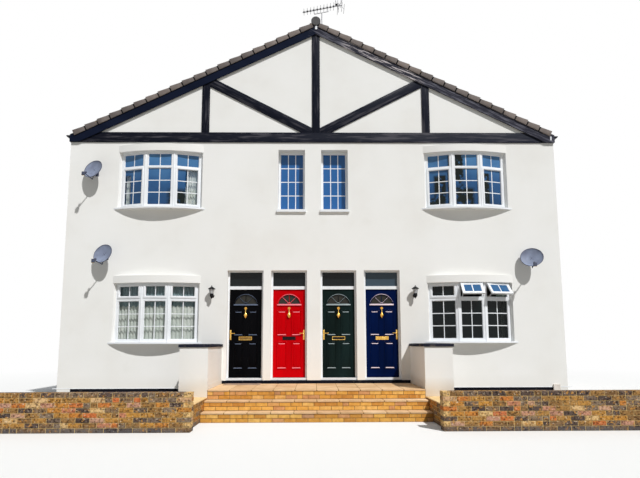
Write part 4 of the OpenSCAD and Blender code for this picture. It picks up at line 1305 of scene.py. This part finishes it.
def makeVergeCaps():
    # one unit: a plate over the tile ends that steps up at its lower end, with a cover over the tiles
    v = roofValues
    long, thick, gauge, first = v["gauge"] - v["capJoint"], v["capThick"], v["gauge"], v["capStart"]
    low, high = v["capZ"]
    unit = spanBox("unit", (0, long), (0, thick), (low, high))
    cover = spanBox("cover", (0, long), v["coverY"], (high - v["coverThick"], high))
    for part in (unit, cover):
        for vertex in part.data.vertices:
            if vertex.co.z > 0:
                vertex.co.z += v["capStep"] * vertex.co.x / long
    unit = joinPieces("unit", [roundEdges(part, v["capEdge"], 2) for part in (unit, cover)])
    # the strip that shows in the joints between the units, painted near black as the shade in the joints
    strip = spanBox("strip", (0, 1), v["stripY"], (low + v["stripPast"][0], high + v["stripPast"][1]))
    dice = random.Random(v["capSeed"])
    for side, name in ((-1, "left"), (1, "right")):
        slope, end = slopeMatrix(side), slopeLength(side) - v["capEnd"]

        def bothVerges(start, size, tone):
            verges = zip(v["capY"], (1, -1))
            return [(slope @ at(start, y, 0) @ scaled(size, face, 1), tone) for y, face in verges]

        starts = [(end - (i + 1) * gauge, 1.0) for i in range(int((end - first) / gauge))]
        starts.append((first, (starts[-1][0] - first) / gauge))
        places = []
        for start, share in starts:
            places += bothVerges(start, share, dice.uniform(*v["capTones"]))
        caps = layCopies("caps", unit, places)
        strips = layCopies("strips", strip, bothVerges(first, end - first - v["capJoint"], 0.0))
        piece = smooth(joinPieces("verge_caps_" + name, [caps, strips]))
        dress(piece, "root", "vergeCap", "verge_caps")
    removePieces(unit, strip)
    print("verge caps laid")


# Small covers on the bargeboards, at the apex and at the eaves

rakeValues = {
    "covers": (((0.042, 0.094), (-0.070, -0.052), (9.205, 9.298)),
               ((5.760, 5.790), (-0.062, -0.050), (6.337, 6.436))),
    "edge": 0.002,
}


def makeRakeTrim():
    v = rakeValues
    piece = joinPieces("barge_covers", [spanBox("cover", *spans, v["edge"]) for spans in v["covers"]])
    dress(piece, "root", "whitePlastic")
    print("rake trim made")


# Gable boards: the long beam, king post, short posts and braces

gableValues = {
    "beamX": (-5.848, 5.848), "beamZ": (6.290, 6.540), "y": (-0.026, 0.0), "kingX": 0.060, "kingW": 0.190,
    "postX": 2.685, "postW": 0.186, "postTop": 9.3, "braceHalf": 0.114,
    "braceLow": 6.480, "braceHigh": 7.885, "gap": 0.002, "soffit": 0.206, "edge": 0.004, "smoothAngle": 30,
}


def cutBoard(board, point, normal):
    # keeps what lies on the far side of the plane from where the normal points
    editAll(board)
    bpy.ops.mesh.bisect(plane_co=point, plane_no=normal, use_fill=True, clear_outer=True)
    endEdit()


def underRoof(board):
    r = roofValues
    for side, fall in r["fall"].items():
        cutBoard(board, (r["ridgeX"], 0, r["ridgeZ"] - gableValues["soffit"]), (side * fall, 0, 1))
    return board


def makeGableBoards():
    v = gableValues
    kingX, postX, gap = v["kingX"], v["postX"], v["gap"]
    boards = [(underRoof(spanBox("gable_beam", v["beamX"], v["y"], v["beamZ"])), "board_level")]
    low = v["beamZ"][1] + gap
    for name, x, wide in (("king_post", kingX, v["kingW"]), ("short_post_left", kingX - postX, v["postW"]),
                          ("short_post_right", kingX + postX, v["postW"])):
        post = spanBox(name, (x - wide / 2, x + wide / 2), v["y"], (low, v["postTop"]))
        boards.append((underRoof(post), "board_upright"))
    for side, name, grain in ((-1, "brace_left", "board_falling"), (1, "brace_right", "board_rising")):
        foot = Vector((kingX, 0, v["braceLow"]))
        along = Vector((kingX + side * postX, 0, v["braceHigh"])) - foot
        angle = math.degrees(math.atan2(along.z, along.x))
        brace = spanBox(name, (0, along.length), v["y"], (-v["braceHalf"], v["braceHalf"]))
        placeMesh(brace, at(*foot) @ turned(-angle, "Y"))
        underRoof(brace)
        cutBoard(brace, (0, 0, low), (0, 0, -1))
        cutBoard(brace, (kingX + side * (v["kingW"] / 2 + gap), 0, 0), (-side, 0, 0))
        cutBoard(brace, (kingX + side * (postX - v["postW"] / 2 - gap), 0, 0), (side, 0, 0))
        boards.append((brace, grain))
    for board, grain in boards:
        smooth(roundEdges(board, v["edge"], 2), v["smoothAngle"])
        dress(board, "root", grain, "gable_timbers")
    print("gable boards made")


# Lanterns, dishes and the small box

lampValues = {
    "x": 2.360, "z": 2.480, "out": 0.120, "plateZ": 0.075,
    "plate": [(0.042, 0.0), (0.042, 0.005), (0.034, 0.010), (0.016, 0.014), (0.012, 0.016)],
    "arm": ((-0.007, 0.007), (-0.120, -0.010), (0.067, 0.083)), "armEdge": 0.003,
    "bowl": [(0.006, 0.0), (0.010, 0.006), (0.007, 0.012), (0.014, 0.022), (0.030, 0.044), (0.043, 0.066),
             (0.045, 0.078), (0.042, 0.086), (0.045, 0.112), (0.044, 0.120), (0.030, 0.120)],
    "cap": [(0.060, 0.224), (0.086, 0.226), (0.087, 0.230), (0.074, 0.244), (0.048, 0.262), (0.026, 0.276),
            (0.020, 0.284), (0.010, 0.288), (0.007, 0.294), (0.011, 0.300), (0.009, 0.308), (0.003, 0.315)],
    "rod": ((-0.0022, 0.0022), (-0.002, 0.002), (0.0, 0.110)), "rodEdge": 0.0008,
    "rods": 6, "rodPlace": (0.041, 0, 0.118), "rodLean": 13,
    "glass": [(0.036, 0.121), (0.040, 0.122), (0.064, 0.222), (0.061, 0.2235), (0.037, 0.125),
              (0.034, 0.124)],
    "bulb": [(0.012, 0.120), (0.013, 0.142), (0.024, 0.160), (0.027, 0.180), (0.018, 0.200),
             (0.004, 0.208)],
    "bulbSides": 16,
}


def makeLanterns():
    v = lampValues
    centre = at(0, -v["out"], 0)
    metal = [
        makeTurned("plate", v["plate"], at(0, 0, v["plateZ"]) @ turned(90, "X")),
        spanBox("arm", *v["arm"], v["armEdge"]),
        makeTurned("bowl", v["bowl"], centre),
        makeTurned("cap", v["cap"], centre),
    ]
    rod = spanBox("rod", *v["rod"], v["rodEdge"], 1)
    for i in range(v["rods"]):
        lean = turned(360 / v["rods"] * i, "Z") @ at(*v["rodPlace"]) @ turned(v["rodLean"], "Y")
        metal.append(copyAt(rod, centre @ lean))
    metal = smooth(joinPieces("metal", metal))
    glass = smooth(makeTurned("glass", v["glass"], centre))
    bulb = smooth(makeTurned("bulb", v["bulb"], centre, v["bulbSides"]))
    models = {
        "": (metal, "lantern_metal", "darkMetal", "lanterns"),
        "glass_": (glass, "window_glass", "lampGlass", None),
        "bulb_": (bulb, "box_plastic", "boxPlastic", None),
    }
    for side, name in ((-1, "left"), (1, "right")):
        for part, (model, slot, finish, node) in models.items():
            piece = joinPieces(f"lantern_{part}{name}", [copyAt(model, at(side * v["x"], 0, v["z"]))])
            dress(piece, "root", finish, node)
    removePieces(rod, metal, glass, bulb)
    print("lanterns made")


dishValues = {
    "middles": {"upper_left": (-5.182, 5.537), "lower_left": (-4.856, 3.512), "right": (5.100, 3.420)},
    "out": 0.160, "turn": 20, "tilt": 17, "armTurn": 8, "armTilt": 7,
    "wide": 0.500, "high": 0.460, "curve": 0.600,
    # the bowl's rings as shares of its radius, and how far its inner face and its rim stand out
    "shares": (0.1, 0.3, 0.5, 0.7, 0.85, 0.97), "inner": -0.008, "rim": (-0.010, 0.004), "bowlSides": 64,
    "edgeIn": 0.002, "edgeR": 0.006, "edgeSides": 10, "smoothAngle": 35,
    "bolt": [(0.012, 0.0), (0.012, 0.005), (0.008, 0.008)], "boltSides": 6,
    # bolts on the bowl and on the wall plate: x, z and size
    "bowlBolts": ((0, 0, 1.0), (-0.030, 0.030, 0.6), (0.030, 0.030, 0.6), (-0.030, -0.030, 0.6),
                  (0.030, -0.030, 0.6)),
    "wallBolts": ((-0.026, -0.085, 0.7), (0.026, -0.085, 0.7), (-0.026, 0.006, 0.7), (0.026, 0.006, 0.7)),
    "boltY": (-0.001, -0.005), "foot": 0.250,
    "back": ((-0.035, 0.035), (0.008, 0.036), (-0.050, 0.035)), "backEdge": 0.004,
    "strut": ((-0.010, 0.010), (0.016, 0.028), (-0.250, -0.040)), "edge": 0.003,
    "arm": ((-0.009, 0.009), (-0.280, 0.028), (0, 0.018)),
    "horn": [(0.018, -0.020), (0.020, 0.0), (0.020, 0.026), (0.026, 0.036), (0.026, 0.066), (0.023, 0.070),
             (0.018, 0.071)],
    "hornPlace": (0, -0.280, 0.009), "hornTilt": -50, "hornSides": 20,
    "head": ((-0.042, 0.042), (-0.320, -0.272), (-0.060, 0.025)), "headTaper": (0.85, 0.7, 1),
    "headEdge": 0.006,
    "plug": [(0.006, 0.0), (0.006, 0.012), (0.004, 0.013)], "plugSides": 12,
    "plugs": ((-0.016, -0.298, -0.069), (0.016, -0.298, -0.069)),
    "tube": [(0.016, 0.008), (0.016, 0.130), (0.013, 0.135)], "tubeZ": -0.040,
    "plate": ((-0.040, 0.040), (-0.006, 0.0), (-0.100, 0.020)),
}


def makeDishes():
    v = dishValues
    half = v["wide"] / 2

    def bowlY(radius, out):
        # how far in front of its middle the bowl stands at a distance from the middle
        return out + v["curve"] - math.sqrt(v["curve"] ** 2 - radius ** 2)

    def boltAt(place, x, y, z, size):
        return copyAt(bolt, place @ at(x, y, z) @ turned(90, "X") @ Matrix.Scale(size, 4))

    steps = [half * share for share in v["shares"]]
    rings = [(radius, bowlY(radius, v["inner"])) for radius in steps]
    rings += [(half, bowlY(half, out)) for out in v["rim"]]
    rings += [(radius, bowlY(radius, 0.0)) for radius in reversed(steps)]
    squash = scaled(1, 1, v["high"] / v["wide"]) @ turned(90, "X")
    moving = at(0, -v["out"], 0) @ turned(-v["turn"], "Z") @ turned(-v["tilt"], "X")
    swing = moving @ at(0, 0, -v["foot"]) @ turned(v["armTurn"], "Z") @ turned(v["armTilt"], "X")
    bowl = makeTurned("bowl", rings, moving @ squash, v["bowlSides"])
    clearSelection()
    bpy.ops.mesh.primitive_torus_add(
        major_radius=half - v["edgeIn"], minor_radius=v["edgeR"], major_segments=v["bowlSides"],
        minor_segments=v["edgeSides"], location=(0, 0, bowlY(half, -v["edgeIn"])))
    fixed = [placeMesh(applyScale(bpy.context.object, (1, 1, 1)), moving @ squash)]
    bolt = makeTurned("bolt", v["bolt"], sides=v["boltSides"])
    fixed.append(placeMesh(spanBox("back", *v["back"], v["backEdge"]), moving))
    fixed.append(placeMesh(spanBox("strut", *v["strut"], v["edge"]), moving))
    fixed += [boltAt(moving, x, v["boltY"][0], z, size) for x, z, size in v["bowlBolts"]]
    fixed += [boltAt(at(0, 0, 0), x, v["boltY"][1], z, size) for x, z, size in v["wallBolts"]]
    # the arm and the receiver head at its end, about the foot of the dish
    arm = placeMesh(spanBox("arm", *v["arm"], v["edge"]), swing)
    hornPlace = swing @ at(*v["hornPlace"]) @ turned(v["hornTilt"], "X")
    horn = makeTurned("horn", v["horn"], hornPlace, v["hornSides"])
    head = spanBox("head", *v["head"])
    taperSide(head, 2, -1, v["headTaper"])
    placeMesh(roundEdges(head, v["headEdge"], 3), swing)
    plug = makeTurned("plug", v["plug"], sides=v["plugSides"])
    plugs = [copyAt(plug, swing @ at(*place)) for place in v["plugs"]]
    tube = makeTurned("tube", v["tube"], at(0, 0, v["tubeZ"]) @ turned(90, "X"), v["hornSides"])
    plate = spanBox("plate", *v["plate"], v["edge"])
    models = (
        ("dish_", bowl, "dish_metal", "dishEnamel"),
        ("dish_arm_", joinPieces("dark", fixed + [arm, tube, plate]), "dish_metal", "dishEdge"),
        ("dish_receiver_", joinPieces("receiver", [horn, head]), "dish_metal", "dishEdge"),
        ("dish_plugs_", joinPieces("plugs", plugs), "brass", "brass"),
    )
    for name, (x, z) in v["middles"].items():
        for part, model, slot, finish in models:
            piece = smooth(joinPieces(part + name, [copyAt(model, at(x, 0, z))]), v["smoothAngle"])
            dress(piece, "root", finish, "dishes")
    removePieces(bolt, plug, *[row[1] for row in models])
    print("dishes made")


aerialValues = {
    "place": (0.219, 0.450, 10.012), "tilt": 12, "rods": 10, "first": -0.450, "apart": 0.088, "edge": 0.003,
    "holder": (0.011, (-0.024, 0.024), (0.097, 0.129)),
    "clampX": (-0.190, 0.170), "clamp": (0.014, (-0.018, 0.018), (0.088, 0.128)),
    "box": ((0.392, 0.452), (-0.028, 0.028), (0.118, 0.158)),
}


def makeAerialFittings():
    # dark holders where the rods pass through the boom, clamps at the cradle and the joint box
    v = aerialValues
    spans = []
    rodX = [v["first"] + i * v["apart"] for i in range(v["rods"])]
    for places, (half, y, z) in ((rodX, v["holder"]), (v["clampX"], v["clamp"])):
        spans += [((x - half, x + half), y, z) for x in places]
    parts = [spanBox("part", *span, v["edge"]) for span in spans + [v["box"]]]
    piece = placeMesh(joinPieces("aerial_fittings", parts), at(*v["place"]) @ turned(-v["tilt"], "Y"))
    dress(smooth(piece), "root", "darkMetal")
    print("aerial fittings made")


boxValues = {
    "case": ((5.505, 5.660), (-0.028, 0.0), (0.320, 0.510)), "caseEdge": 0.004,
    "lid": ((5.508, 5.657), (-0.039, -0.027), (0.323, 0.507)), "lidSteps": ((0.012, 0.0), (0.004, -0.003)),
    "lidEdge": 0.002, "latch": [(0.007, 0.0), (0.007, 0.004), (0.004, 0.005)],
    "latchPlace": (5.5825, -0.036, 0.342), "latchSides": 12,
}


def makeSmallBox():
    v = boxValues
    case, lid = spanBox("case", *v["case"], v["caseEdge"]), spanBox("lid", *v["lid"])
    insetSide(lid, 1, -1, *v["lidSteps"])
    roundEdges(lid, v["lidEdge"], 2)
    latch = makeTurned("latch", v["latch"], at(*v["latchPlace"]) @ turned(90, "X"), v["latchSides"])
    piece = smooth(joinPieces("small_wall_box", [case, lid, latch]))
    dress(piece, "root", "boxPlastic", "meter_box")
    print("small box made")


# Curtains behind the bow windows

clothValues = {
    # folds of net, with painted shade above a scalloped line: the shadow of the transom on the folds
    "net": {"colours": ((204, 216, 206), (238, 242, 234)), "above": (2.330, 0.035, (140, 166, 172))},
    "drape": {"colours": ((214, 226, 216), (240, 244, 238))},
    "dim": {"colours": ((140, 154, 144), (180, 190, 176))},
}
weaveValues = {
    "patch": (0.20, 4, (1, 1, 4)), "range": (0.3, 0.7), "scallop": 48, "headSoft": 0.025, "headShare": 0.9,
    "threads": 120, "depth": 0.002, "rough": (0.8, 0.95), "sheen": 0.2,
}

curtainValues = {
    # window side, storey, face, cloth, width, place along the face from its low end, folds,
    # share of the width left at the top, how far the top leans
    "net_lower_left_1": (-1, "lower", 0, "net", 0.60, 0.330, 7, 1.0, 0.0),
    "net_lower_left_2": (-1, "lower", 1, "net", 0.58, 0.310, 7, 1.0, 0.0),
    "net_lower_left_3": (-1, "lower", 2, "net", 0.60, 0.340, 7, 1.0, 0.0),
    "curtain_upper_left_1": (-1, "upper", 0, "drape", 0.15, 0.140, 3, 0.7, -0.02),
    "curtain_upper_left_2": (-1, "upper", 2, "drape", 0.36, 0.400, 5, 0.6, 0.07),
    "curtain_lower_right": (1, "lower", 2, "dim", 0.26, 0.480, 4, 0.9, 0.02),
}
hangValues = {
    "lower": (1.530, 2.850), "upper": (4.720, 6.000), "y": 0.110, "depth": 0.016, "perFold": 12, "rows": 14,
    "phase": 6, "uneven": (0.5, 7), "fullness": (0.65, 0.35), "stray": 0.006, "smoothAngle": 80,
}


def makeCloth(name, looks):
    v = weaveValues
    material, tree, shader = startMaterial(name)
    broad = addPattern(tree, *v["patch"])
    colour = addRamp(tree, broad, list(zip(v["range"], looks["colours"])))
    # painted shade: darker above a line that swings across the folds
    if "above" in looks:
        height, depth, tint = looks["above"]
        swing = addMath(tree, "MULTIPLY", addAlong(tree, "X"), v["scallop"], False)
        edge = addSpread(tree, addMath(tree, "SINE", swing, clamp=False), -1.0, 1.0, 0.0, depth)
        rise = addMath(tree, "ADD", addAlong(tree, "Z"), edge, False)
        mask = addSpread(tree, rise, height, height + v["headSoft"], 0.0, v["headShare"])
        colour = addMix(tree, mask, colour, shade(*tint))
    weave = addNode(tree, "TexVoronoi", {"Scale": v["threads"], "Vector": addPlace(tree)})
    feed(tree, shader, {
        "Base Color": colour, "Normal": addBump(tree, weave.outputs["Distance"], v["depth"], 1.0),
        "Sheen Weight": v["sheen"],
        "Roughness": addSpread(tree, broad, *v["range"], *v["rough"]),
    })
    return material


def hangCurtain(name, cloth, wide, span, folds, where, pinch, lean):
    # a gathered sheet: pinch is the share of its width left at the top, lean moves the top sideways
    v = hangValues
    clearSelection()
    bpy.ops.mesh.primitive_grid_add(x_subdivisions=folds * v["perFold"], y_subdivisions=v["rows"], size=1)
    piece = bpy.context.object
    piece.name = name
    low, tall = span[0], span[1] - span[0]
    phase = random.Random(len(name)).uniform(0, v["phase"])
    uneven, pace = v["uneven"]
    for vertex in piece.data.vertices:
        u, w = vertex.co.x, vertex.co.y + 0.5
        narrow = 1 + (pinch - 1) * w
        swing = math.sin(2 * math.pi * folds * u + phase + uneven * math.sin(pace * u))
        fullness = v["fullness"][0] + v["fullness"][1] * (1 - w)
        x = u * wide * narrow + lean * w + v["stray"] * swing * (1 - w)
        vertex.co = (x, v["depth"] * swing * fullness, low + w * tall)
    placeMesh(piece, where)
    smooth(piece, v["smoothAngle"])
    dress(piece, "root", cloth)


def hangCurtains():
    for name, looks in clothValues.items():
        finishes[name] = makeCloth(name + "Cloth", looks)
    for name, (side, storey, face, cloth, wide, along, folds, pinch, lean) in curtainValues.items():
        window = at(side * bowValues["middle"], 0, 0) @ bowFaces(storey)[face][0]
        where = window @ at(along, hangValues["y"], 0)
        hangCurtain(name, cloth, wide, hangValues[storey], folds, where, pinch, lean)
    print("curtains hung")


# Stage and light

stageValues = {
    "sunTowards": (0.68, -1.0, 1.41), "sunStrength": 3.5, "sunSoft": 1.5, "worldStrength": 0.27,
    "worldColour": (0.82, 0.90, 1.0, 1), "shownColour": (1, 1, 1, 1), "floorSeen": (238, 237, 234),
    "floorGiven": (176, 172, 164), "floorRough": 0.9, "floorGloss": 0.1, "floorFade": (9.0, 22.0),
    "floorHalf": 60.0,
}


def addShown(tree):
    # where the background is seen: by the camera, in metal and through glass
    rays = addNode(tree, "LightPath", {}).outputs
    shown = addMath(tree, "MAXIMUM", rays["Is Camera Ray"], rays["Is Glossy Ray"])
    return addMath(tree, "MAXIMUM", shown, rays["Is Transmission Ray"])


def setFloor():
    v = stageValues
    clearSelection()
    bpy.ops.mesh.primitive_plane_add(size=2 * v["floorHalf"], location=(0, 0, 0))
    floor = bpy.context.object
    floor.name = "pale_floor"
    material, tree, shader = startMaterial("paleFloor")
    shown = addShown(tree)
    seen = addMix(tree, shown, shade(*v["floorGiven"]), shade(*v["floorSeen"]))
    feed(tree, shader, {
        "Base Color": seen, "Roughness": v["floorRough"], "Specular IOR Level": v["floorGloss"],
    })
    # far away the floor passes into the white of the background
    far = addNode(tree, "VectorMath", {0: addPlace(tree)}, operation="LENGTH").outputs["Value"]
    fade = addMath(tree, "MULTIPLY", addSpread(tree, far, *v["floorFade"], 0.0, 1.0), shown)
    glow = addNode(tree, "Emission", {}).outputs[0]
    mix = addNode(tree, "MixShader", {0: fade, 1: shader.outputs[0], 2: glow})
    feed(tree, tree.nodes["Material Output"], {"Surface": mix.outputs[0]})
    floor.data.materials.append(material)


def setLight():
    v = stageValues
    bpy.ops.object.light_add(type="SUN")
    sun = bpy.context.object
    sun.name = "key_sun"
    sun.data.energy = v["sunStrength"]
    sun.data.angle = math.radians(v["sunSoft"])
    sun.rotation_euler = Vector(v["sunTowards"]).to_track_quat("Z", "Y").to_euler()
    world = bpy.data.worlds.new("paleWorld")
    bpy.context.scene.world = world
    world.use_nodes = True
    tree = world.node_tree
    shown = addShown(tree)
    feed(tree, tree.nodes["Background"], {
        "Color": addMix(tree, shown, v["worldColour"], v["shownColour"]),
        "Strength": addSpread(tree, shown, 0.0, 1.0, v["worldStrength"], 1.0),
    })
    bpy.context.scene.view_settings.view_transform = "Standard"


placeCamera()
makeBowWindows()
makeOpenVents()
makeFlatWindows()
makeDoors()
makeGardenWalls()
makeSteps()
makeTrim()
makeCopings()
makeRoofTiles()
makeRidge()
makeVergeCaps()
makeRakeTrim()
makeGableBoards()
makeLanterns()
makeDishes()
makeAerialFittings()
makeSmallBox()
hangCurtains()
setFloor()
setLight()
print("stage set")
